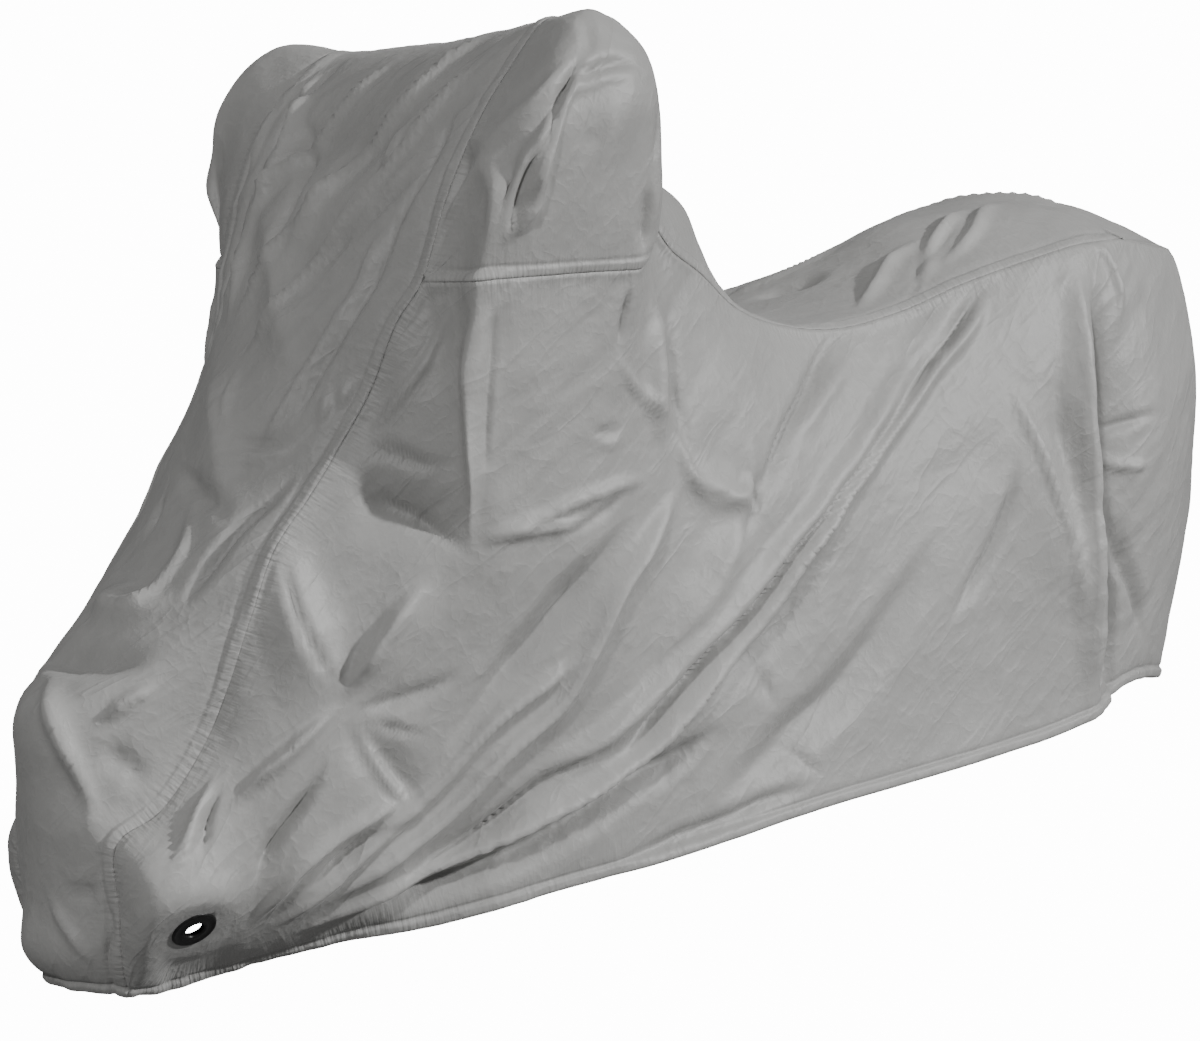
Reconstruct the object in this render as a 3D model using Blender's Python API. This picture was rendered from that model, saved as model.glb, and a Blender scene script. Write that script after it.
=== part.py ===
"""Fitted outdoor cover of coated cloth, hollow, in the shape in which it hangs, with two lock eyelets.

Lengths are in metres. The tables give x towards the tail, y out from the middle and z up from the ground
below the cover. The left side is -y. At the end everything moves so that the origin is the point over the
seat from which the cover hangs, on the underside of its cloth.
"""

import math
from collections import namedtuple

import bmesh
import bpy
import numpy as np
from mathutils import Matrix, Vector
from mathutils.geometry import delaunay_2d_cdt

CLOTH = 0.002
SEAM_GAP = 0.0003

# How many cells the grids of the panels have: per cell of a table, across the centre panel, up a side panel,
# and between two levels of a head panel.
FINE = 2
ACROSS = 10
ROWS = 14
RIB_CELLS = 2

# Sections of the centre panel: its middle, its left seam, how flat its crown is, and how far the right
# seam stands from a mirror image of the left one.
Station = namedtuple("Station", "name cells cx cz sx sy sz full tilt_x tilt_z")
STATIONS = [
    Station("hem", 2, -0.149, 0.066, -0.094, 0.080, 0.060, 2.4, 0, 0),
    Station("lip", 2, -0.182, 0.110, -0.120, 0.106, 0.115, 2.4, 0, 0),
    Station("chin", 2, -0.176, 0.180, -0.130, 0.118, 0.180, 2.4, 0, 0),
    Station("muzzle", 1, -0.184, 0.290, -0.134, 0.120, 0.267, 2.4, 0, 0),
    Station("bridge", 2, -0.187, 0.333, -0.079, 0.132, 0.302, 2.4, -0.012, 0),
    Station("arch", 3, -0.188, 0.420, -0.014, 0.146, 0.396, 2.4, -0.020, 0),
    Station("throat", 2, -0.070, 0.530, 0.028, 0.178, 0.543, 2.2, -0.002, 0),
    Station("shin", 2, 0.002, 0.612, 0.061, 0.183, 0.627, 2.2, 0.022, 0),
    Station("knee", 3, 0.064, 0.700, 0.119, 0.186, 0.700, 2.2, 0.008, 0),
    Station("apron", 2, 0.125, 0.818, 0.193, 0.207, 0.822, 2.2, 0.014, 0),
    Station("chest", 2, 0.178, 0.905, 0.218, 0.232, 0.911, 2.4, 0.032, 0),
    Station("collar", 2, 0.216, 0.968, 0.246, 0.250, 0.965, 2.6, 0.024, 0),
    Station("neck", 2, 0.262, 1.068, 0.286, 0.250, 1.072, 3.0, 0.010, 0),
    Station("brow", 2, 0.318, 1.160, 0.337, 0.250, 1.169, 3.2, 0, -0.010),
    Station("crest", 2, 0.366, 1.218, 0.385, 0.249, 1.233, 3.2, 0, -0.025),
    Station("ridge", 1, 0.438, 1.268, 0.446, 0.247, 1.297, 3.2, 0, -0.040),
    Station("peak", 2, 0.480, 1.266, 0.482, 0.245, 1.296, 3.2, 0, -0.038),
    Station("back", 2, 0.532, 1.240, 0.530, 0.245, 1.257, 3.2, 0, -0.020),
    Station("nape", 1, 0.588, 1.190, 0.562, 0.250, 1.140, 4.2, 0, 0),
    Station("scruff", 1, 0.638, 1.138, 0.590, 0.255, 1.080, 5.4, 0, 0),
    Station("waist", 1, 0.684, 1.092, 0.610, 0.262, 1.035, 6.0, 0, 0),
    Station("slope", 2, 0.730, 1.060, 0.640, 0.262, 0.998, 6.0, 0, 0),
    Station("dip", 2, 0.760, 1.010, 0.700, 0.250, 0.965, 5.0, 0, 0),
    Station("lap", 2, 0.812, 0.948, 0.785, 0.222, 0.915, 3.2, 0, 0),
    Station("seat_front", 2, 0.885, 0.893, 0.880, 0.200, 0.888, 2.6, 0, 0),
    Station("seat", 3, 0.985, 0.890, 0.985, 0.192, 0.878, 2.2, 0, 0.008),
    Station("seat_back", 3, 1.115, 0.940, 1.114, 0.190, 0.898, 2.2, 0, 0.014),
    Station("rise", 3, 1.235, 1.003, 1.222, 0.200, 0.934, 1.7, 0, -0.024),
    Station("hump", 2, 1.355, 1.032, 1.330, 0.210, 0.963, 2.2, 0, -0.008),
    Station("crown", 2, 1.470, 1.050, 1.420, 0.216, 0.984, 2.2, 0, 0),
    Station("rump", 3, 1.600, 1.038, 1.480, 0.206, 0.990, 2.4, 0, 0),
    Station("tail", 0, 1.785, 0.966, 1.545, 0.190, 0.992, 2.6, 0, 0),
]

# Ribs of a head panel, from the cheek seam at its foot up over the shoulder to the centre panel's seam.
Rib = namedtuple("Rib", "name foot low high shoulder")
LEFT_RIBS = [
    Rib("jowl", (0.262, 0.295, 0.966), (0.266, 0.297, 0.990), (0.271, 0.292, 1.020), (0.279, 0.277, 1.048)),
    Rib("corner", (0.266, 0.335, 0.968), (0.272, 0.347, 1.030), (0.288, 0.345, 1.090), (0.312, 0.308, 1.145)),
    Rib("temple", (0.300, 0.348, 0.971), (0.296, 0.366, 1.060), (0.328, 0.380, 1.150), (0.360, 0.342, 1.218)),
    Rib("cheek", (0.360, 0.358, 0.974), (0.365, 0.380, 1.080), (0.385, 0.388, 1.190), (0.425, 0.338, 1.288)),
    Rib("crown", (0.430, 0.364, 0.977), (0.445, 0.384, 1.100), (0.467, 0.392, 1.215), (0.474, 0.322, 1.306)),
    Rib("ear", (0.475, 0.368, 0.978), (0.500, 0.382, 1.100), (0.525, 0.380, 1.200), (0.532, 0.332, 1.272)),
    Rib("jaw", (0.505, 0.368, 0.980), (0.530, 0.372, 1.060), (0.544, 0.360, 1.120), (0.555, 0.318, 1.150)),
    Rib("heel", (0.545, 0.335, 1.000), (0.560, 0.325, 1.020), (0.572, 0.310, 1.045), (0.583, 0.285, 1.068)),
]
RIGHT_RIBS = [
    Rib("jowl", (0.285, 0.290, 0.966), (0.290, 0.298, 0.990), (0.292, 0.298, 1.020), (0.290, 0.280, 1.048)),
    Rib("corner", (0.310, 0.320, 0.968), (0.328, 0.347, 1.030), (0.332, 0.350, 1.090), (0.335, 0.310, 1.145)),
    Rib("temple", (0.335, 0.335, 0.971), (0.340, 0.374, 1.070), (0.347, 0.380, 1.177), (0.372, 0.350, 1.220)),
    Rib("cheek", (0.385, 0.352, 0.974), (0.385, 0.382, 1.080), (0.386, 0.372, 1.215), (0.424, 0.354, 1.266)),
    Rib("crown", (0.440, 0.362, 0.977), (0.450, 0.382, 1.090), (0.467, 0.380, 1.195), (0.474, 0.335, 1.262)),
    Rib("ear", (0.478, 0.366, 0.978), (0.500, 0.380, 1.090), (0.522, 0.374, 1.180), (0.528, 0.328, 1.238)),
    Rib("jaw", (0.505, 0.366, 0.980), (0.528, 0.370, 1.060), (0.542, 0.358, 1.115), (0.555, 0.318, 1.146)),
    Rib("heel", (0.545, 0.335, 1.000), (0.560, 0.325, 1.020), (0.572, 0.310, 1.045), (0.583, 0.285, 1.068)),
]

# Falls of a side panel: the hem below each part of the top edge, how far the cloth bellies out a third and
# two thirds of the way up, the heading of that belly in degrees from square to the side, and its share on
# the far side.
Fall = namedtuple("Fall", "name cells hx hy hz low high turn far")
FALLS = [
    Fall("hem", 2, -0.094, 0.080, 0.060, 0.000, 0.000, -40, 1),
    Fall("lip", 2, -0.076, 0.080, 0.058, 0.014, 0.014, -30, 1),
    Fall("chin", 2, -0.053, 0.080, 0.057, 0.036, 0.048, -20, 0.7),
    Fall("muzzle", 3, -0.014, 0.084, 0.064, 0.056, 0.090, -10, 0.75),
    Fall("arch", 3, 0.056, 0.105, 0.084, 0.082, 0.070, -8, 0.9),
    Fall("throat", 2, 0.112, 0.145, 0.099, 0.078, 0.046, -10, 1),
    Fall("shin", 2, 0.161, 0.180, 0.113, 0.066, 0.046, -10, 1),
    Fall("knee", 3, 0.204, 0.215, 0.123, 0.056, 0.048, -10, 1),
    Fall("apron", 2, 0.259, 0.245, 0.133, 0.046, 0.056, -10, 1),
    Fall("chest", 2, 0.292, 0.268, 0.142, 0.034, 0.050, -10, 1),
    Fall("collar", 4, 0.318, 0.283, 0.149, 0.028, 0.040, -5, 1),
    Fall("corner", 4, 0.345, 0.294, 0.155, 0.012, 0.010, 0, 1),
    Fall("cheek", 5, 0.425, 0.309, 0.170, 0.010, 0.006, 0, 1),
    Fall("jaw", 2, 0.500, 0.320, 0.182, 0.010, 0.006, 0, 1),
    Fall("waist", 1, 0.565, 0.327, 0.192, 0.015, 0.015, 0, 1),
    Fall("slope", 2, 0.635, 0.331, 0.204, 0.020, 0.028, 0, 1),
    Fall("dip", 2, 0.715, 0.334, 0.218, 0.024, 0.038, 0, 1),
    Fall("lap", 2, 0.800, 0.335, 0.232, 0.028, 0.046, 0, 1),
    Fall("seat_front", 2, 0.890, 0.335, 0.244, 0.030, 0.050, 0, 1),
    Fall("seat", 3, 0.990, 0.332, 0.255, 0.030, 0.052, 0, 1),
    Fall("seat_back", 3, 1.115, 0.328, 0.270, 0.030, 0.050, 0, 1),
    Fall("rise", 3, 1.220, 0.322, 0.282, 0.028, 0.046, 0, 1),
    Fall("hump", 2, 1.325, 0.313, 0.296, 0.026, 0.042, 0, 1),
    Fall("crown", 2, 1.418, 0.300, 0.316, 0.024, 0.040, 0, 1),
    Fall("rump", 3, 1.480, 0.262, 0.338, 0.030, 0.042, 12, 1),
    Fall("tail", 2, 1.550, 0.235, 0.346, 0.040, 0.052, 28, 1),
    Fall("quarter", 2, 1.665, 0.165, 0.332, 0.034, 0.047, 55, 1),
    Fall("stern", 1, 1.740, 0.062, 0.314, 0.024, 0.032, 80, 1),
    Fall("back_seam", 0, 1.755, 0.000, 0.308, 0.024, 0.026, 90, 1),
]


def smooth_rows(rows, cells):
    """Rows of a table with `cells` steps between neighbours, on a Catmull-Rom curve spaced by distance."""
    rows = np.asarray(rows, float)
    before = np.vstack([2 * rows[0] - rows[1], rows[:-1]])
    after = np.vstack([rows[1:], 2 * rows[-1] - rows[-2]])
    found = [rows[0]]
    for k, count in enumerate(cells[:len(rows) - 1]):
        ends = (before[k], rows[k], after[k], after[k + 1])
        gaps = [max(np.linalg.norm((b - a)[:3]), 1e-6) ** 0.5 for a, b in zip(ends, ends[1:])]
        slopes = [(b - a) / gap for a, b, gap in zip(ends, ends[1:], gaps)]
        leave = (slopes[0] + slopes[1] - (ends[2] - ends[0]) / (gaps[0] + gaps[1])) * gaps[1]
        arrive = (slopes[1] + slopes[2] - (ends[3] - ends[1]) / (gaps[1] + gaps[2])) * gaps[1]
        for step in range(1, count + 1):
            t = step / count
            found.append((2 * t**3 - 3 * t**2 + 1) * ends[1] + (t**3 - 2 * t**2 + t) * leave
                         + (3 * t**2 - 2 * t**3) * ends[2] + (t**3 - t**2) * arrive)
    return np.array(found)


def fine_cells(table):
    return [row.cells * FINE for row in table]


def rows_of(table):
    """The number of each named row once the table is spread over its fine cells."""
    starts = np.concatenate([[0], np.cumsum(fine_cells(table))])
    return {row.name: int(start) for row, start in zip(table, starts)}


def centre_grid():
    """Points of the centre panel, from the nose to the tail and from its left seam to its right one."""
    lines = smooth_rows([station[2:] for station in STATIONS], fine_cells(STATIONS))
    cx, cz, sx, sy, sz, full, tilt_x, tilt_z = lines.T[:, :, None]
    across = np.linspace(-1, 1, ACROSS * FINE + 1)[None]
    crown = 1 - np.abs(across) ** full
    right_share = (1 + across) / 2
    chord_x = sx + tilt_x * right_share
    chord_z = sz + tilt_z * right_share
    x = chord_x + (cx - sx - tilt_x / 2) * crown
    z = chord_z + (cz - sz - tilt_z / 2) * crown
    return np.stack(np.broadcast_arrays(x, sy * across, z), axis=2)


def head_grid(centre, ribs, side):
    """Points of a head panel, from the collar to the waist and from the cheek seam up to the centre panel."""
    at = rows_of(STATIONS)
    seam = centre[at["collar"]:at["waist"] + 1, 0 if side < 0 else -1]
    middle = [row for row in STATIONS if at["collar"] <= at[row.name] < at["waist"]]
    levels = []
    for level in ("foot", "low", "high", "shoulder"):
        points = [np.multiply(getattr(rib, level), (1, side, 1)) for rib in ribs]
        levels.append(smooth_rows([seam[0], *points, seam[-1]], fine_cells(middle)))
    levels.append(seam)
    columns = zip(*levels)
    return np.array([smooth_rows(column, [RIB_CELLS * FINE] * 4) for column in columns])


def side_grid(centre, head, side):
    """Points of a side panel, from the nose corner round to the centre-back seam and from the hem up."""
    at = rows_of(STATIONS)
    seam = centre[:, 0 if side < 0 else -1]
    tail_row = centre[-1] if side < 0 else centre[-1, ::-1]
    to_middle = tail_row[1:ACROSS * FINE // 2 + 1]
    top = np.concatenate([seam[:at["collar"]], head[:, 0], seam[at["waist"] + 1:], to_middle])
    rows = smooth_rows([fall[2:] for fall in FALLS], fine_cells(FALLS))
    hem = rows[:, :3] * (1, side, 1)
    share = rows[:, 6, None] if side > 0 else 1
    low, high = rows[:, 3, None] * share, rows[:, 4, None] * share
    heading = np.radians(rows[:, 5])
    out = np.stack([np.sin(heading), side * np.cos(heading), 0 * heading], axis=1)
    hem[-1, 1] = 0
    grid = []
    for up in np.linspace(0, 1, ROWS * FINE + 1):
        peak = 13.5 * up * (1 - up)
        belly = low * peak * (2 / 3 - up) + high * peak * (up - 1 / 3)
        grid.append(hem + (top - hem) * up + out * belly)
    grid = np.array(grid).transpose(1, 0, 2)
    grid[:, -1] = top
    grid[-1, :, 1] = 0
    return grid


def centre_marks(grid):
    """Flat marks of the centre panel: metres along its middle from the nose hem, and out from the middle."""
    middle = grid.shape[1] // 2
    along = np.linalg.norm(np.diff(grid[:, middle], axis=0), axis=1)
    along = np.concatenate([[0], np.cumsum(along)])
    step = np.linalg.norm(np.diff(grid, axis=1), axis=2)
    out = np.concatenate([np.zeros((len(grid), 1)), np.cumsum(step, axis=1)], axis=1)
    out = out - out[:, middle, None]
    return np.stack([np.broadcast_to(along[:, None], out.shape), out], axis=2)


def side_marks(grid):
    """Flat marks of a side panel: x, which follows the cloth round both its ends, and z, which follows it up."""
    at = rows_of(FALLS)
    step = np.diff(grid, axis=0)
    extra = np.hypot(step[..., 0], step[..., 1]) - step[..., 0]
    extra[at["corner"]:at["crown"]] = 0
    along = np.concatenate([np.zeros((1, grid.shape[1])), np.cumsum(extra, axis=0)])
    return np.stack([grid[..., 0] + along - along[at["corner"]], climb(grid)], axis=2)


def head_marks(grid):
    """Flat marks of a head panel: x beside the cheek, which follows the cloth both ways, and z up it."""
    step = np.diff(grid, axis=0)
    round_it = np.cumsum(np.hypot(step[..., 0], step[..., 1]), axis=0)
    along = np.concatenate([np.zeros((1, grid.shape[1])), round_it])
    cheek = rows_of(STATIONS)["ridge"] - rows_of(STATIONS)["collar"]
    along = along - along[cheek] + grid[cheek, :, 0]
    return np.stack([along, climb(grid)], axis=2)


def climb(grid):
    """Height of each point above the ground, measured along the cloth from the panel's lower edge."""
    step = np.linalg.norm(np.diff(grid, axis=1), axis=2)
    return grid[:, :1, 2] + np.concatenate([np.zeros((len(grid), 1)), np.cumsum(step, axis=1)], axis=1)


# Folds, each a smooth line through flat marks on its panel, with the half width of its bump and how far it
# stands out, or sinks in where the height is below zero.
Fold = namedtuple("Fold", "name width height route")
LEFT_FOLDS = [
    Fold("sweep crest", 0.026, 0.016, ((1.26, 0.93), (0.92, 0.655), (0.57, 0.36), (0.05, 0.15))),
    Fold("sweep gutter", 0.022, -0.012, ((1.27, 0.96), (1.07, 0.785), (0.72, 0.515), (0.49, 0.335))),
    Fold("upper sweep", 0.030, 0.012, ((1.12, 0.86), (0.91, 0.68), (0.53, 0.41), (0.29, 0.26))),
    Fold("under sweep", 0.034, -0.018, ((0.70, 0.37), (0.47, 0.275), (0.275, 0.19), (0.12, 0.155))),
    Fold("wedge", 0.030, -0.018, ((0.50, 0.36), (0.34, 0.29), (0.17, 0.19))),
    Fold("waist ridge", 0.028, 0.014, ((0.62, 0.70), (0.49, 0.57), (0.33, 0.36), (0.06, 0.185))),
    Fold("waist gully", 0.040, -0.018, ((0.53, 0.67), (0.385, 0.535), (0.235, 0.36))),
    Fold("second ridge", 0.022, 0.010, ((0.46, 0.50), (0.345, 0.43), (0.245, 0.34), (0.115, 0.24))),
    Fold("hem crease", 0.022, -0.009, ((0.83, 0.27), (0.69, 0.245), (0.50, 0.20))),
    Fold("seat gutter", 0.036, -0.016, ((1.01, 0.90), (0.87, 0.805), (0.75, 0.735))),
    Fold("tail roll", 0.050, 0.018, ((1.43, 1.00), (1.40, 0.68), (1.412, 0.30))),
    Fold("tail gutter", 0.040, -0.024, ((1.49, 0.95), (1.445, 0.66), (1.49, 0.30))),
    Fold("rump crease", 0.018, 0.006, ((1.25, 0.81), (1.29, 0.665), (1.345, 0.52))),
    Fold("flank streak", 0.022, -0.009, ((1.237, 0.70), (1.18, 0.57), (1.09, 0.46))),
    Fold("flank gutter", 0.050, -0.013, ((1.10, 0.61), (0.94, 0.44), (0.74, 0.305))),
    Fold("waist drop", 0.032, 0.013, ((0.575, 0.98), (0.565, 0.85), (0.57, 0.72))),
    Fold("waist gutter", 0.024, -0.011, ((0.617, 0.96), (0.612, 0.82), (0.632, 0.70))),
    Fold("cheek pocket", 0.016, -0.007, ((0.485, 0.96), (0.479, 0.85))),
    Fold("corner edge", 0.034, 0.013, ((0.267, 0.98), (0.267, 0.80), (0.270, 0.62))),
    Fold("knee crease", 0.022, -0.014, ((-0.02, 0.66), (0.035, 0.575), (0.10, 0.46))),
    Fold("star crest south", 0.016, 0.008, ((0.113, 0.433), (0.165, 0.35), (0.205, 0.30))),
    Fold("star crest west", 0.020, 0.011, ((0.105, 0.45), (0.035, 0.41), (-0.06, 0.355))),
    Fold("star crest north", 0.024, 0.011, ((0.105, 0.455), (0.15, 0.51), (0.21, 0.59))),
    Fold("star gutter", 0.022, -0.012, ((0.113, 0.44), (0.20, 0.45), (0.28, 0.475))),
    Fold("collar crease", 0.022, -0.011, ((0.11, 0.713), (0.19, 0.675), (0.262, 0.63))),
    Fold("nose band", 0.020, 0.010, ((-0.07, 0.42), (-0.115, 0.355), (-0.155, 0.29))),
    Fold("nose gutter", 0.026, -0.013, ((0.09, 0.39), (0.03, 0.32), (-0.012, 0.24))),
]
RIGHT_FOLDS = [
    Fold("sweep crest", 0.030, 0.016, ((1.18, 0.90), (0.92, 0.64), (0.66, 0.42), (0.42, 0.27), (0.10, 0.17))),
    Fold("sweep gutter", 0.030, -0.014, ((1.10, 0.90), (0.86, 0.66), (0.60, 0.46))),
    Fold("waist ridge", 0.030, 0.014, ((0.56, 0.68), (0.44, 0.50), (0.30, 0.35), (0.09, 0.23))),
    Fold("waist gully", 0.042, -0.018, ((0.48, 0.70), (0.34, 0.52), (0.17, 0.36))),
    Fold("tail roll", 0.050, 0.018, ((1.42, 1.00), (1.40, 0.65), (1.41, 0.30))),
    Fold("tail gutter", 0.040, -0.022, ((1.49, 0.95), (1.46, 0.65), (1.48, 0.30))),
    Fold("flank gutter", 0.050, -0.014, ((1.24, 0.70), (1.10, 0.50), (0.90, 0.36))),
    Fold("waist drop", 0.034, 0.014, ((0.58, 0.98), (0.56, 0.84), (0.55, 0.70))),
    Fold("waist gutter", 0.026, -0.012, ((0.64, 0.96), (0.63, 0.84), (0.65, 0.68))),
    Fold("seat gutter", 0.036, -0.014, ((0.96, 0.88), (0.86, 0.78), (0.74, 0.70))),
    Fold("corner edge", 0.034, 0.012, ((0.270, 0.97), (0.268, 0.78), (0.262, 0.60))),
    Fold("nose gutter", 0.026, -0.013, ((0.09, 0.38), (0.02, 0.31), (-0.03, 0.24))),
]
CENTRE_FOLDS = [
    Fold("front crest far", 0.026, 0.011, ((1.40, 0.21), (1.25, 0.153), (1.085, 0.154), (0.97, 0.115))),
    Fold("front gutter far", 0.022, -0.008, ((1.30, 0.15), (1.21, 0.08), (1.03, 0.06))),
    Fold("front crest middle", 0.026, 0.009, ((1.25, -0.02), (1.17, -0.01), (1.05, 0.025))),
    Fold("front gutter near", 0.028, -0.007, ((1.22, -0.21), (1.13, -0.12), (1.03, -0.035))),
    Fold("apron crease", 0.018, -0.008, ((0.80, -0.03), (0.82, -0.15))),
    Fold("apron gutter", 0.026, -0.015, ((0.78, 0.09), (0.745, 0.01), (0.69, -0.114))),
    Fold("knee gutter", 0.024, -0.011, ((0.79, -0.166), (0.69, -0.122), (0.55, -0.11))),
    Fold("nose overhang", 0.046, 0.014, ((0.56, 0.09), (0.555, -0.02), (0.565, -0.10))),
    Fold("nose recess", 0.040, -0.024, ((0.455, 0.10), (0.455, -0.03), (0.47, -0.12))),
    Fold("nose peak", 0.022, 0.012, ((0.37, -0.10), (0.435, -0.153))),
    Fold("nose shadow", 0.026, -0.014, ((0.34, -0.085), (0.31, -0.16))),
    Fold("nose edge", 0.028, 0.014, ((0.41, 0.0), (0.31, -0.08), (0.225, -0.108))),
    Fold("chin crease", 0.024, -0.010, ((0.14, 0.04), (0.145, -0.03), (0.16, -0.10))),
    Fold("seat crest one", 0.022, 0.009, ((2.60, -0.055), (2.44, -0.09), (2.23, -0.155))),
    Fold("seat crest two", 0.020, 0.008, ((2.53, -0.10), (2.41, -0.15), (2.31, -0.17))),
    Fold("seat gutter", 0.030, -0.010, ((2.30, -0.03), (2.20, 0.06))),
]
LEFT_HEAD_FOLDS = [
    Fold("cap gutter", 0.020, -0.009, ((0.367, 1.212), (0.423, 1.244), (0.51, 1.252))),
    Fold("near gutter", 0.018, -0.008, ((0.370, 1.214), (0.303, 1.133), (0.276, 1.04))),
    Fold("corner edge", 0.026, 0.010, ((0.370, 1.20), (0.333, 1.12), (0.329, 1.063), (0.29, 1.01))),
    Fold("back crease", 0.024, -0.009, ((0.508, 1.136), (0.500, 0.99))),
]
RIGHT_HEAD_FOLDS = [
    Fold("back crease", 0.026, -0.009, ((0.51, 1.15), (0.49, 1.00))),
    Fold("cheek crest", 0.030, 0.010, ((0.42, 1.20), (0.40, 1.04))),
]
SEAM_EASE = 0.05

# How closely the triangles follow the cloth, and how far apart their corners stay.
SPLIT = 4
STRAY = 0.0034
MARK_GAP = 0.012
EDGE_GAP = 0.012
HEM_GAP = 0.028
PASSES = 14
CREST_STEP = 0.030
CREST_GAP = 0.015

# Where the cover hangs on what is below it: the middle of these stations.
RESTS = ("rise", "ridge")

# The lock eyelets: a flanged ring on each side of the nose, clipped through the cloth.
EYELET_MARK = (-0.090, 0.207)
EYELET_BORE = 0.0125
EYELET_NECK = 0.0175
EYELET_FLANGE = 0.031
EYELET_BACK = 0.0275
EYELET_PROUD = 0.0042
EYELET_EDGE = 0.0012
EYELET_STEPS = 24
EYELET_CLEAR = 0.0003
FLAT_RINGS = (0.0245, 0.0335, 0.042)
FLAT_REACH = 0.090


def smoothstep(share):
    share = np.clip(share, 0, 1)
    return share * share * (3 - 2 * share)


def nearest(marks, line):
    """Distance of each mark from a line of flat points, and how far along the line its nearest point is."""
    best = np.full(len(marks), np.inf)
    along = np.zeros(len(marks))
    passed = 0.0
    for start, end in zip(line[:-1], line[1:]):
        run = end - start
        length = np.hypot(*run)
        share = np.clip((marks - start) @ run / length**2, 0, 1)
        away = np.hypot(*(marks - start - share[:, None] * run).T)
        nearer = away < best
        best[nearer] = away[nearer]
        along[nearer] = passed + share[nearer] * length
        passed += length
    return best, along, passed


def fold_line(fold):
    return smooth_rows(fold.route, [6] * len(fold.route))


def fold_height(marks, folds):
    """How far the folds lift each mark out of the smooth cloth."""
    height = np.zeros(len(marks))
    for fold in folds:
        away, along, length = nearest(marks, fold_line(fold))
        ease = min(3 * fold.width, 0.4 * length)
        ends = smoothstep(along / ease) * smoothstep((length - along) / ease)
        height += fold.height * ends * np.maximum(0, 1 - (away / fold.width) ** 2) ** 2
    return height


def grid_triangles(grid):
    number = np.arange(grid.shape[0] * grid.shape[1]).reshape(grid.shape[:2])
    a, b, c, d = number[:-1, :-1], number[1:, :-1], number[1:, 1:], number[:-1, 1:]
    halves = [np.stack(corners, axis=2).reshape(-1, 3) for corners in ((a, b, c), (a, c, d))]
    return np.concatenate(halves)


def lift(marks, flat_grid, *layers):
    """The value of each layer of a panel's grid at each flat mark."""
    triangles = grid_triangles(flat_grid)
    corners = flat_grid.reshape(-1, 2)[triangles]
    first, u, v = corners[:, 0], corners[:, 1] - corners[:, 0], corners[:, 2] - corners[:, 0]
    area = u[:, 0] * v[:, 1] - u[:, 1] * v[:, 0]
    real = area > 1e-8
    triangles, first, u, v, area = (values[real] for values in (triangles, first, u, v, area))
    found = [[] for _ in layers]
    for mark in marks:
        w = mark - first
        s = (w[:, 0] * v[:, 1] - w[:, 1] * v[:, 0]) / area
        t = (u[:, 0] * w[:, 1] - u[:, 1] * w[:, 0]) / area
        best = np.argmax(np.minimum(np.minimum(s, t), 1 - s - t))
        weights = np.array([1 - s[best] - t[best], s[best], t[best]])
        for values, layer in zip(found, layers):
            values.append(weights @ layer.reshape(-1, 3)[triangles[best]])
    return [np.array(values) for values in found]


def grid_normals(grid, facing):
    """Directions out of the cloth at each point of a grid."""
    normals = np.cross(np.gradient(grid, axis=0), np.gradient(grid, axis=1)) * facing
    size = np.linalg.norm(normals, axis=2, keepdims=True)
    return normals / np.maximum(size, 1e-9)


def finer(layer):
    """A layer of a panel's grid with each of its cells split both ways."""
    for axis in (0, 1):
        layer = np.swapaxes(layer, 0, axis)
        share = np.arange(SPLIT).reshape(1, SPLIT, 1, 1) / SPLIT
        split = layer[:-1, None] * (1 - share) + layer[1:, None] * share
        layer = np.concatenate([split.reshape(-1, *layer.shape[1:]), layer[-1:]])
        layer = np.swapaxes(layer, 0, axis)
    return layer


def triangles_of(flat, chosen, count):
    """Triangles between the chosen marks, inside the outline that the first `count` of them make."""
    found = delaunay_2d_cdt([Vector(mark) for mark in flat[chosen]], [], [list(range(count))], 1, 1e-6)
    source = [origins[0] for origins in found[3]]
    return np.array([[chosen[source[corner]] for corner in face] for face in found[2]])


def furthest_out(flat, points, normals, pool, triangle):
    """The mark in a triangle where it strays most from the cloth, and by how much."""
    corners = flat[triangle]
    first, u, v = corners[0], corners[1] - corners[0], corners[2] - corners[0]
    low, high = corners.min(axis=0), corners.max(axis=0)
    near = pool[np.searchsorted(flat[pool, 0], low[0]):np.searchsorted(flat[pool, 0], high[0])]
    near = near[(flat[near, 1] > low[1]) & (flat[near, 1] < high[1])]
    area = u[0] * v[1] - u[1] * v[0]
    if not len(near) or area < 1e-8:
        return 0, None
    w = flat[near] - first
    s = (w[:, 0] * v[1] - w[:, 1] * v[0]) / area
    t = (u[0] * w[:, 1] - u[1] * w[:, 0]) / area
    shares = np.stack([1 - s - t, s, t], axis=1)
    gap = np.abs(np.sum((points[near] - shares @ points[triangle]) * normals[near], axis=1))
    gap[shares.min(axis=1) < 0.02] = 0
    return gap.max(), near[np.argmax(gap)]


def fold_marks(fold):
    """Marks at even steps along the crest of a fold and along its two feet."""
    line = fold_line(fold)
    length = np.concatenate([[0], np.cumsum(np.hypot(*np.diff(line, axis=0).T))])
    stops = np.linspace(0, length[-1], round(length[-1] / CREST_STEP) + 1)
    crest = np.stack([np.interp(stops, length, line[:, k]) for k in (0, 1)], axis=1)
    run = np.gradient(crest, axis=0)
    square = np.stack([-run[:, 1], run[:, 0]], axis=1) / np.hypot(*run.T)[:, None]
    return crest, crest + square * fold.width * 0.9, crest - square * fold.width * 0.9


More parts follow.
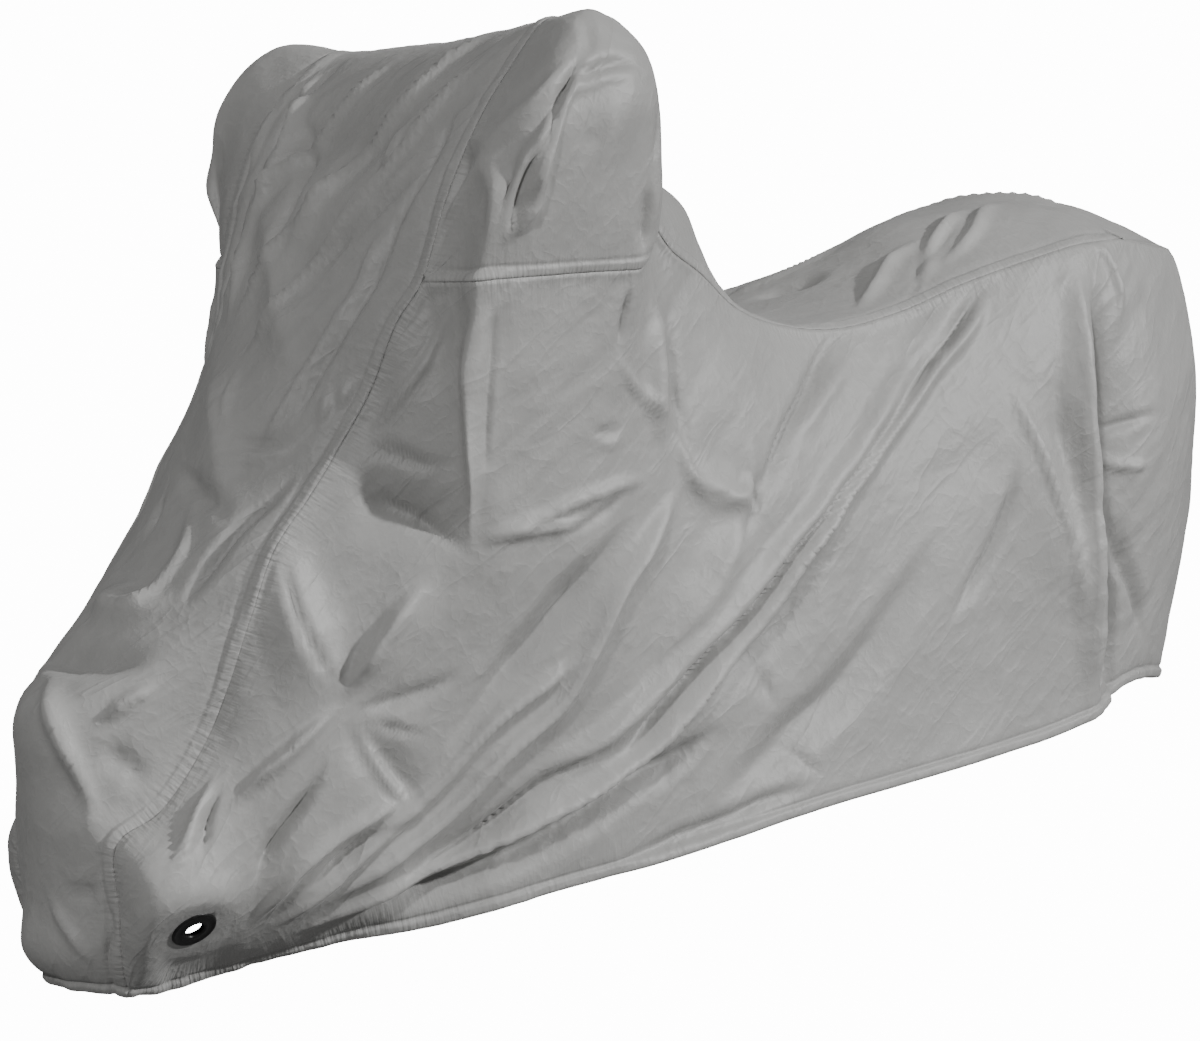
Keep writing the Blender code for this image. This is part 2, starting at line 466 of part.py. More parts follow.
def chosen_marks(flat, points, normals, chosen, count, pool, folds):
    """Marks along the folds, and more where the triangles between them stray most from the cloth."""
    crests, left_feet, right_feet = zip(*(fold_marks(fold) for fold in folds))
    for mark in np.concatenate(crests + left_feet + right_feet):
        number = pool[np.argmin(np.hypot(*(flat[pool] - mark).T))]
        near = np.hypot(*(flat[number] - mark)) < MARK_GAP
        if near and np.min(np.hypot(*(flat[chosen] - flat[number]).T)) > CREST_GAP:
            chosen = np.append(chosen, number)
    pool = pool[np.argsort(flat[pool, 0])]
    for _ in range(PASSES):
        triangles = triangles_of(flat, chosen, count)
        worst = [furthest_out(flat, points, normals, pool, triangle) for triangle in triangles]
        worst = sorted(((gap, number) for gap, number in worst if gap > STRAY), reverse=True)
        before = len(chosen)
        for _, number in worst:
            if np.min(np.hypot(*(flat[chosen] - flat[number]).T)) > MARK_GAP:
                chosen = np.append(chosen, number)
        if len(chosen) == before:
            break
    return chosen, triangles_of(flat, chosen, count)


Panel = namedtuple("Panel", "name grid flat facing edge hem folds held eyelet")


def centre_panel():
    grid = centre_grid()
    last_row, last = grid.shape[0] - 1, grid.shape[1] - 1
    nose = [(0, j) for j in range(0, last + 1, FINE)]
    right = [(i, last) for i in range(FINE, last_row + 1, FINE)]
    tail = [(last_row, j) for j in range(last - FINE, -1, -FINE)]
    left = [(i, 0) for i in range(last_row - FINE, 0, -FINE)]
    held = [(rows_of(STATIONS)[name], last // 2) for name in RESTS]
    edge = right + tail + left + nose
    return Panel("centre_panel", grid, centre_marks(grid), 1, edge, set(nose), CENTRE_FOLDS, held, None)


def head_panel(name, centre, ribs, side, folds):
    grid = head_grid(centre, ribs, side)
    last = grid.shape[0] - 1
    foot = [(i, 0) for i in range(0, last + 1, FINE)]
    top = [(i, grid.shape[1] - 1) for i in range(last - FINE, 0, -FINE)]
    return Panel(name, grid, head_marks(grid), -side, foot + top, set(), folds, [], None)


def side_panel(name, centre, head, side, folds):
    grid = side_grid(centre, head, side)
    last, top_row = grid.shape[0] - 1, grid.shape[1] - 1
    hem = [(0, 0)]
    for i in range(FINE, last, FINE):
        if np.linalg.norm(grid[i, 0] - grid[hem[-1]]) > HEM_GAP:
            hem.append((i, 0))
    hem.append((last, 0))
    back = [(last, j) for j in range(FINE, top_row, FINE)]
    top = [(i, top_row) for i in range(last, 0, -FINE)]
    edge = hem + back + top
    return Panel(name, grid, side_marks(grid), -side, edge, set(hem), folds, [], EYELET_MARK)


Sheet = namedtuple("Sheet", "points triangles seam hem eyelet")


def eyelet_frame(panel):
    """The centre of a panel's eyelet and its directions: forward along the cloth, up it, and out of it."""
    normals = grid_normals(panel.grid, panel.facing)
    centre, out = lift([np.array(panel.eyelet)], panel.flat, panel.grid, normals)
    out = out[0] / np.linalg.norm(out[0])
    forward = np.cross(out, (0, 0, -panel.facing))
    forward /= np.linalg.norm(forward)
    return centre[0], forward, np.cross(forward, out) * -panel.facing, out


def ring(radius):
    turn = 2 * math.pi * np.arange(EYELET_STEPS) / EYELET_STEPS
    return np.stack([np.cos(turn), np.sin(turn)], axis=1) * radius


def sheet_of(panel):
    """The folded cloth of a panel as triangles between marks, closest along its folds."""
    width = (panel.grid.shape[1] - 1) * SPLIT + 1
    layers = panel.flat, panel.grid, grid_normals(panel.grid, panel.facing)
    flat, points, normals = (finer(layer).reshape(-1, layer.shape[2]) for layer in layers)
    normals /= np.maximum(np.linalg.norm(normals, axis=1, keepdims=True), 1e-9)
    edge = [i * SPLIT * width + j * SPLIT for i, j in panel.edge]
    held = [i * SPLIT * width + j * SPLIT for i, j in panel.held]
    count = len(edge)
    loop = flat[edge + edge[:1]]

    hem = {number for number, place in zip(edge, panel.edge) if place in panel.hem}
    after = edge[1:] + edge[:1]
    seam = set(edge) - hem
    beside = [*zip(edge, after), *zip(after, edge)]
    hem_ends = {number for number, other in beside if number in hem and other in seam}
    seam |= hem_ends
    sewn = [loop[k:k + 2] for k in range(count) if {edge[k], after[k]} <= seam]
    ease = np.min([nearest(flat, line)[0] for line in sewn], axis=0)
    height = fold_height(flat, panel.folds) * smoothstep(ease / SEAM_EASE)
    points = points + normals * height[:, None]
    free = nearest(flat, loop)[0] > EDGE_GAP

    eyelet = None
    chosen = np.array(edge + held)
    if panel.eyelet:
        eyelet = centre, forward, up, away = eyelet_frame(panel)
        reach = np.linalg.norm(points - centre, axis=1)
        level = smoothstep((FLAT_REACH - reach) / (FLAT_REACH - FLAT_RINGS[-1]))
        level[list(seam)] = 0
        points -= away * (((points - centre) @ away) * level)[:, None]
        free &= np.hypot(*(flat - panel.eyelet).T) > FLAT_RINGS[-1] + EDGE_GAP
        around = np.concatenate([ring(radius) for radius in (EYELET_NECK + EYELET_CLEAR, *FLAT_RINGS)])
        first = len(flat)
        flat = np.concatenate([flat, around + panel.eyelet])
        points = np.concatenate([points, centre + around[:, :1] * forward + around[:, 1:] * up])
        normals = np.concatenate([normals, np.tile(away, (len(around), 1))])
        chosen = np.append(chosen, range(first, len(flat)))
    pool = np.array([number for number in np.flatnonzero(free) if within(flat[number], loop[:-1])])
    chosen, triangles = chosen_marks(flat, points, normals, chosen, count, pool, panel.folds)
    if panel.eyelet:
        hole = set(range(first, first + EYELET_STEPS))
        triangles = np.array([face for face in triangles if not hole.issuperset(face)])
        hem |= hole
    if panel.facing < 0:
        triangles = triangles[:, ::-1]
    return Sheet(points, triangles, seam, hem, eyelet)


def within(mark, outline):
    """Whether a flat mark lies inside an outline."""
    start, end = outline, np.roll(outline, -1, axis=0)
    crosses = (start[:, 1] > mark[1]) != (end[:, 1] > mark[1])
    rise = np.where(crosses, end[:, 1] - start[:, 1], 1)
    at = start[:, 0] + (mark[1] - start[:, 1]) * (end[:, 0] - start[:, 0]) / rise
    return bool(np.sum(crosses & (at > mark[0])) % 2)


def corner_key(point):
    return tuple(np.round(point, 5))


def add_normals(sheet, shared):
    """Adds the sheet's triangle directions to those that meet at the same point of any sheet."""
    corners = sheet.points[sheet.triangles]
    facing = np.cross(corners[:, 1] - corners[:, 0], corners[:, 2] - corners[:, 0])
    for triangle, direction in zip(sheet.triangles, facing):
        for number in triangle:
            key = corner_key(sheet.points[number])
            shared[key] = shared.get(key, 0) + direction


def edges_of(triangles):
    """The directed edges round a sheet and its holes."""
    edges = {(int(face[k]), int(face[(k + 1) % 3])) for face in triangles for k in range(3)}
    return sorted(edge for edge in edges if (edge[1], edge[0]) not in edges)


def drawn_back(sheet, normals, edges):
    """The sheet's points, with each sewn edge half a seam gap back from the seam."""
    pulls = {}
    for start, end in edges:
        sewn = start in sheet.seam and end in sheet.seam
        run = sheet.points[end] - sheet.points[start]
        for number in (start, end):
            inward = np.cross(normals[number], run)
            pulls.setdefault(number, []).append((inward / np.linalg.norm(inward), sewn * SEAM_GAP / 2))
    points = sheet.points.copy()
    for number, pull in pulls.items():
        ways = np.array([inward for inward, _ in pull])
        sizes = np.array([size for _, size in pull])
        points[number] += np.linalg.lstsq(ways, sizes, rcond=0.05)[0]
    return points


def cloth_normals(sheet, shared):
    """Directions out of the cloth at each point of a sheet, alike on both sides of a seam."""
    normals = np.array([shared.get(corner_key(point), (0, 0, 1)) for point in sheet.points], float)
    normals /= np.linalg.norm(normals, axis=1, keepdims=True)
    if sheet.eyelet:
        centre, _, _, away = sheet.eyelet
        level = np.linalg.norm(sheet.points - centre, axis=1) < FLAT_RINGS[1]
        normals[level] = away
    return normals


def rim(start, end, count, rising):
    """The two triangles between an edge and its inner copy, split alike on both sides of a seam."""
    if rising:
        return [(end, start, start + count), (end, start + count, end + count)]
    return [(end, start, end + count), (start, start + count, end + count)]


def cloth_mesh(name, sheet, normals):
    """A closed sheet of cloth: its outer face, its inner face and the rims that join them."""
    edges = edges_of(sheet.triangles)
    outer = drawn_back(sheet, normals, edges)
    inner = outer - normals * CLOTH
    count = len(outer)
    faces = [tuple(face) for face in sheet.triangles]
    faces += [tuple(face[::-1] + count) for face in sheet.triangles]
    for start, end in edges:
        faces += rim(start, end, count, corner_key(sheet.points[start]) < corner_key(sheet.points[end]))
    used = sorted({int(number) for face in faces for number in face})
    place = {number: k for k, number in enumerate(used)}
    points = np.concatenate([outer, inner])[used]
    mesh = bpy.data.meshes.new(name)
    mesh.from_pydata(points.tolist(), [], [[place[int(number)] for number in face] for face in faces])
    return mesh


def eyelet_mesh(name, eyelet):
    """A flanged ring turned about the eyelet's axis, a flange on each side of the cloth."""
    centre, forward, up, away = eyelet
    top, edge = EYELET_PROUD, EYELET_EDGE
    front, back = EYELET_CLEAR, -CLOTH - EYELET_CLEAR
    profile = [
        (EYELET_BORE, top - edge), (EYELET_BORE + edge, top), (EYELET_FLANGE - 4 * edge, top),
        (EYELET_FLANGE, front + edge), (EYELET_FLANGE, front), (EYELET_NECK, front),
        (EYELET_NECK, back), (EYELET_BACK, back), (EYELET_BACK, back - edge),
        (EYELET_BACK - 2 * edge, back - 2 * edge), (EYELET_BORE + edge, back - 2 * edge),
        (EYELET_BORE, back - edge),
    ]
    form = bmesh.new()
    corners = [form.verts.new((radius, 0, height)) for radius, height in profile]
    loop = [form.edges.new((a, b)) for a, b in zip(corners, corners[1:] + corners[:1])]
    turn = {"axis": (0, 0, 1), "cent": (0, 0, 0), "angle": 2 * math.pi}
    bmesh.ops.spin(form, geom=loop, steps=EYELET_STEPS, use_merge=True, **turn)
    bmesh.ops.remove_doubles(form, verts=form.verts, dist=1e-6)
    frame = Matrix((forward, np.cross(away, forward), away)).transposed().to_4x4()
    bmesh.ops.transform(form, matrix=Matrix.Translation(centre) @ frame, verts=form.verts)
    bmesh.ops.recalc_face_normals(form, faces=form.faces)
    mesh = bpy.data.meshes.new(name)
    form.to_mesh(mesh)
    form.free()
    return mesh


def material(name, colour, roughness, metallic=0.0):
    made = bpy.data.materials.new(name)
    made.use_nodes = True
    shader = made.node_tree.nodes["Principled BSDF"]
    shader.inputs["Base Color"].default_value = (*colour, 1)
    shader.inputs["Roughness"].default_value = roughness
    shader.inputs["Metallic"].default_value = metallic
    return made


def place_object(mesh, finish, rest):
    mesh.transform(Matrix.Translation(-Vector(rest)))
    mesh.materials.append(finish)
    mesh.shade_smooth()
    mesh.set_sharp_from_angle(angle=math.radians(40))
    placed = bpy.data.objects.new(mesh.name, mesh)
    bpy.context.scene.collection.objects.link(placed)
    return placed


def undersides(panel, sheet, normals):
    """The points of the underside from which the cover hangs."""
    width = (panel.grid.shape[1] - 1) * SPLIT + 1
    numbers = [i * SPLIT * width + j * SPLIT for i, j in panel.held]
    return [sheet.points[number] - normals[number] * CLOTH for number in numbers]


def main():
    for old in list(bpy.data.objects):
        bpy.data.objects.remove(old, do_unlink=True)
    centre = centre_panel()
    left_head = head_panel("head_panel_left", centre.grid, LEFT_RIBS, -1, LEFT_HEAD_FOLDS)
    right_head = head_panel("head_panel_right", centre.grid, RIGHT_RIBS, 1, RIGHT_HEAD_FOLDS)
    left = side_panel("side_panel_left", centre.grid, left_head.grid, -1, LEFT_FOLDS)
    right = side_panel("side_panel_right", centre.grid, right_head.grid, 1, RIGHT_FOLDS)
    panels = [centre, left, right, left_head, right_head]
    sheets = {panel.name: sheet_of(panel) for panel in panels}
    shared = {}
    for sheet in sheets.values():
        add_normals(sheet, shared)
    cloth = material("coated cloth", (0.42, 0.43, 0.43), 0.55)
    plastic = material("black plastic", (0.02, 0.02, 0.02), 0.35)
    normals = {name: cloth_normals(sheet, shared) for name, sheet in sheets.items()}
    rest, high_rest = undersides(centre, sheets["centre_panel"], normals["centre_panel"])
    for name, sheet in sheets.items():
        placed = place_object(cloth_mesh(name, sheet, normals[name]), cloth, rest)
        print(name, len(placed.data.loop_triangles), [round(v, 3) for v in placed.dimensions])
    print("high rest at", np.round(high_rest - rest, 5), "ground at", np.round(-rest, 5))
    for name, owner in (("eyelet_left", "side_panel_left"), ("eyelet_right", "side_panel_right")):
        place_object(eyelet_mesh(name, sheets[owner].eyelet), plastic, rest)


main()
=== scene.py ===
import math
from collections import namedtuple

import bmesh
import bpy
import numpy as np
from mathutils import Euler, Matrix, Vector


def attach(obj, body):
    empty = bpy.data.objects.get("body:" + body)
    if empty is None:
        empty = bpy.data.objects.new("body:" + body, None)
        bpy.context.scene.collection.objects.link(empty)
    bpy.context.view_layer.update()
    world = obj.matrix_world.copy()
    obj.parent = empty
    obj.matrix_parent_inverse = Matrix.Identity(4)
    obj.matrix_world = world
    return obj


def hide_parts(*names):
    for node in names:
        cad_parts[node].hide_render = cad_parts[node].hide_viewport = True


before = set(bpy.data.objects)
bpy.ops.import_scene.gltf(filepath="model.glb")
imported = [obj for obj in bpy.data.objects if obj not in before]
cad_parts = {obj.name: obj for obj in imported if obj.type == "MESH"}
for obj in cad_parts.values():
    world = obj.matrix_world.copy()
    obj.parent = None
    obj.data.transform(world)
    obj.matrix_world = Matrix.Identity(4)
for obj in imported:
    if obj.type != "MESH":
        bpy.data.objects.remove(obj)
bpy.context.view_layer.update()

# The tables below give x towards the tail, y out from the middle and z up from the ground below the cover.
# This is where that ground point lies in the frame.
groundPoint = Vector((-1.23576, 0.0, -1.00115))

camera = {"place": (-2.900, -4.643, 1.190), "heading": -38.0, "dip": 5.6, "lens": 127.5, "sensor": 36.0}
stage = {"radius": 60.0, "segments": 96, "glow": 14.0, "grey": 0.18, "roughness": 0.9}
suns = (
    {"toward": (-0.52, 0.71, -0.47), "strength": 3.3, "spread": 2.5},
    {"toward": (0.66, 0.50, -0.56), "strength": 1.35, "spread": 5.0},
)
sky = {"low": 0.08, "high": 0.27}
clothSheet = {"thickness": 0.0012, "stepsAlong": 5, "rowsUp": 128, "rowsAcross": 104, "rowsOnHead": 72,
              "bandStep": 0.0016, "band": 0.024}

# Sections of the centre panel: its middle, its left seam, how flat its crown is, and how far the right seam
# stands from a mirror image of the left one.
Station = namedtuple("Station", "name cells cx cz sx sy sz full tiltX tiltZ")
stations = [Station(*row) for row in (
    ("hem", 2, -0.149, 0.066, -0.094, 0.080, 0.060, 2.4, 0, 0),
    ("lip", 2, -0.182, 0.110, -0.120, 0.106, 0.115, 2.4, 0, 0),
    ("chin", 2, -0.176, 0.180, -0.130, 0.118, 0.180, 2.4, 0, 0),
    ("muzzle", 1, -0.184, 0.290, -0.134, 0.120, 0.267, 2.4, 0, 0),
    ("bridge", 2, -0.187, 0.333, -0.079, 0.132, 0.302, 2.4, -0.012, 0),
    ("arch", 3, -0.188, 0.420, -0.014, 0.146, 0.396, 2.4, -0.020, 0),
    ("throat", 2, -0.070, 0.530, 0.028, 0.178, 0.543, 2.2, -0.002, 0),
    ("shin", 2, 0.002, 0.612, 0.061, 0.183, 0.627, 2.2, 0.022, 0),
    ("knee", 3, 0.064, 0.700, 0.119, 0.186, 0.700, 2.2, 0.008, 0),
    ("apron", 2, 0.125, 0.818, 0.193, 0.207, 0.822, 2.2, 0.014, 0),
    ("chest", 2, 0.178, 0.905, 0.218, 0.232, 0.911, 2.4, 0.032, 0),
    ("collar", 2, 0.216, 0.968, 0.246, 0.250, 0.965, 2.6, 0.024, 0),
    ("neck", 2, 0.262, 1.068, 0.286, 0.250, 1.072, 3.0, 0.010, 0),
    ("brow", 2, 0.318, 1.160, 0.337, 0.250, 1.169, 3.2, 0, -0.010),
    ("crest", 2, 0.366, 1.218, 0.385, 0.249, 1.233, 3.2, 0, -0.025),
    ("ridge", 1, 0.438, 1.268, 0.446, 0.247, 1.297, 3.2, 0, -0.040),
    ("peak", 2, 0.480, 1.266, 0.482, 0.245, 1.296, 3.2, 0, -0.038),
    ("back", 2, 0.532, 1.240, 0.530, 0.245, 1.257, 3.2, 0, -0.020),
    ("nape", 1, 0.588, 1.190, 0.562, 0.250, 1.140, 4.2, 0, 0),
    ("scruff", 1, 0.638, 1.138, 0.590, 0.255, 1.080, 5.4, 0, 0),
    ("waist", 1, 0.684, 1.092, 0.610, 0.262, 1.035, 6.0, 0, 0),
    ("slope", 2, 0.730, 1.060, 0.640, 0.262, 0.998, 6.0, 0, 0),
    ("dip", 2, 0.760, 1.010, 0.700, 0.250, 0.965, 5.0, 0, 0),
    ("lap", 2, 0.812, 0.948, 0.785, 0.222, 0.915, 3.2, 0, 0),
    ("seatFront", 2, 0.885, 0.893, 0.880, 0.200, 0.888, 2.6, 0, 0),
    ("seat", 3, 0.985, 0.890, 0.985, 0.192, 0.878, 2.2, 0, 0.008),
    ("seatBack", 3, 1.115, 0.940, 1.114, 0.190, 0.898, 2.2, 0, 0.014),
    ("rise", 3, 1.235, 1.003, 1.222, 0.200, 0.934, 1.7, 0, -0.024),
    ("hump", 2, 1.355, 1.032, 1.330, 0.210, 0.963, 2.2, 0, -0.008),
    ("crown", 2, 1.470, 1.050, 1.420, 0.216, 0.984, 2.2, 0, 0),
    ("rump", 3, 1.600, 1.038, 1.480, 0.206, 0.990, 2.4, 0, 0),
    ("tail", 0, 1.785, 0.966, 1.545, 0.190, 0.992, 2.6, 0, 0),
)]

# Ribs of a head panel, from the cheek seam at its foot up over the shoulder to the centre panel's seam.
Rib = namedtuple("Rib", "name foot low high shoulder")
leftRibs = [Rib(*row) for row in (
    ("jowl", (0.262, 0.295, 0.966), (0.266, 0.297, 0.990), (0.271, 0.292, 1.020), (0.279, 0.277, 1.048)),
    ("corner", (0.266, 0.335, 0.968), (0.272, 0.347, 1.030), (0.288, 0.345, 1.090), (0.312, 0.308, 1.145)),
    ("temple", (0.300, 0.348, 0.971), (0.296, 0.366, 1.060), (0.328, 0.380, 1.150), (0.360, 0.342, 1.218)),
    ("cheek", (0.360, 0.358, 0.974), (0.365, 0.380, 1.080), (0.385, 0.388, 1.190), (0.425, 0.338, 1.288)),
    ("crown", (0.430, 0.364, 0.977), (0.445, 0.384, 1.100), (0.467, 0.392, 1.215), (0.474, 0.322, 1.306)),
    ("ear", (0.475, 0.368, 0.978), (0.500, 0.382, 1.100), (0.525, 0.380, 1.200), (0.532, 0.332, 1.272)),
    ("jaw", (0.505, 0.368, 0.980), (0.530, 0.372, 1.060), (0.544, 0.360, 1.120), (0.555, 0.318, 1.150)),
    ("heel", (0.545, 0.335, 1.000), (0.560, 0.325, 1.020), (0.572, 0.310, 1.045), (0.583, 0.285, 1.068)),
)]
rightRibs = [Rib(*row) for row in (
    ("jowl", (0.285, 0.290, 0.966), (0.290, 0.298, 0.990), (0.292, 0.298, 1.020), (0.290, 0.280, 1.048)),
    ("corner", (0.310, 0.320, 0.968), (0.328, 0.347, 1.030), (0.332, 0.350, 1.090), (0.335, 0.310, 1.145)),
    ("temple", (0.335, 0.335, 0.971), (0.340, 0.374, 1.070), (0.347, 0.380, 1.177), (0.372, 0.350, 1.220)),
    ("cheek", (0.385, 0.352, 0.974), (0.385, 0.382, 1.080), (0.386, 0.372, 1.215), (0.424, 0.354, 1.266)),
    ("crown", (0.440, 0.362, 0.977), (0.450, 0.382, 1.090), (0.467, 0.380, 1.195), (0.474, 0.335, 1.262)),
    ("ear", (0.478, 0.366, 0.978), (0.500, 0.380, 1.090), (0.522, 0.374, 1.180), (0.528, 0.328, 1.238)),
    ("jaw", (0.505, 0.366, 0.980), (0.528, 0.370, 1.060), (0.542, 0.358, 1.115), (0.555, 0.318, 1.146)),
    ("heel", (0.545, 0.335, 1.000), (0.560, 0.325, 1.020), (0.572, 0.310, 1.045), (0.583, 0.285, 1.068)),
)]

# Falls of a side panel: the hem below each part of the top edge, how far the cloth bellies out a third and
# two thirds of the way up, the heading of that belly in degrees from square to the side, and its share on
# the far side.
Fall = namedtuple("Fall", "name cells hx hy hz low high turn far")
falls = [Fall(*row) for row in (
    ("hem", 2, -0.094, 0.080, 0.060, 0.000, 0.000, -40, 1),
    ("lip", 2, -0.076, 0.080, 0.058, 0.014, 0.014, -30, 1),
    ("chin", 2, -0.053, 0.080, 0.057, 0.036, 0.048, -20, 0.7),
    ("muzzle", 3, -0.014, 0.084, 0.064, 0.056, 0.090, -10, 0.75),
    ("arch", 3, 0.056, 0.105, 0.084, 0.082, 0.070, -8, 0.9),
    ("throat", 2, 0.112, 0.145, 0.099, 0.078, 0.046, -10, 1),
    ("shin", 2, 0.161, 0.180, 0.113, 0.066, 0.046, -10, 1),
    ("knee", 3, 0.204, 0.215, 0.123, 0.056, 0.048, -10, 1),
    ("apron", 2, 0.259, 0.245, 0.133, 0.046, 0.056, -10, 1),
    ("chest", 2, 0.292, 0.268, 0.142, 0.034, 0.050, -10, 1),
    ("collar", 4, 0.318, 0.283, 0.149, 0.028, 0.040, -5, 1),
    ("corner", 4, 0.345, 0.294, 0.155, 0.012, 0.010, 0, 1),
    ("cheek", 5, 0.425, 0.309, 0.170, 0.010, 0.006, 0, 1),
    ("jaw", 2, 0.500, 0.320, 0.182, 0.010, 0.006, 0, 1),
    ("waist", 1, 0.565, 0.327, 0.192, 0.015, 0.015, 0, 1),
    ("slope", 2, 0.635, 0.331, 0.204, 0.020, 0.028, 0, 1),
    ("dip", 2, 0.715, 0.334, 0.218, 0.024, 0.038, 0, 1),
    ("lap", 2, 0.800, 0.335, 0.232, 0.028, 0.046, 0, 1),
    ("seatFront", 2, 0.890, 0.335, 0.244, 0.030, 0.050, 0, 1),
    ("seat", 3, 0.990, 0.332, 0.255, 0.030, 0.052, 0, 1),
    ("seatBack", 3, 1.115, 0.328, 0.270, 0.030, 0.050, 0, 1),
    ("rise", 3, 1.220, 0.322, 0.282, 0.028, 0.046, 0, 1),
    ("hump", 2, 1.325, 0.313, 0.296, 0.026, 0.042, 0, 1),
    ("crown", 2, 1.418, 0.300, 0.316, 0.024, 0.040, 0, 1),
    ("rump", 3, 1.480, 0.262, 0.338, 0.030, 0.042, 12, 1),
    ("tail", 2, 1.550, 0.235, 0.346, 0.040, 0.052, 28, 1),
    ("quarter", 2, 1.665, 0.165, 0.332, 0.034, 0.047, 55, 1),
    ("stern", 1, 1.740, 0.062, 0.314, 0.024, 0.032, 80, 1),
    ("backSeam", 0, 1.755, 0.000, 0.308, 0.024, 0.026, 90, 1),
)]

# Folds of each panel: the half width of the fold, its height, how crisp its crest is, how much wider its
# foot is on the left of its line than on the right, and the flat marks that the line runs through.
Fold = namedtuple("Fold", "name width height crisp lean route")


def foldTable(*rows):
    return [Fold(*row[:5], row[5:]) for row in rows]


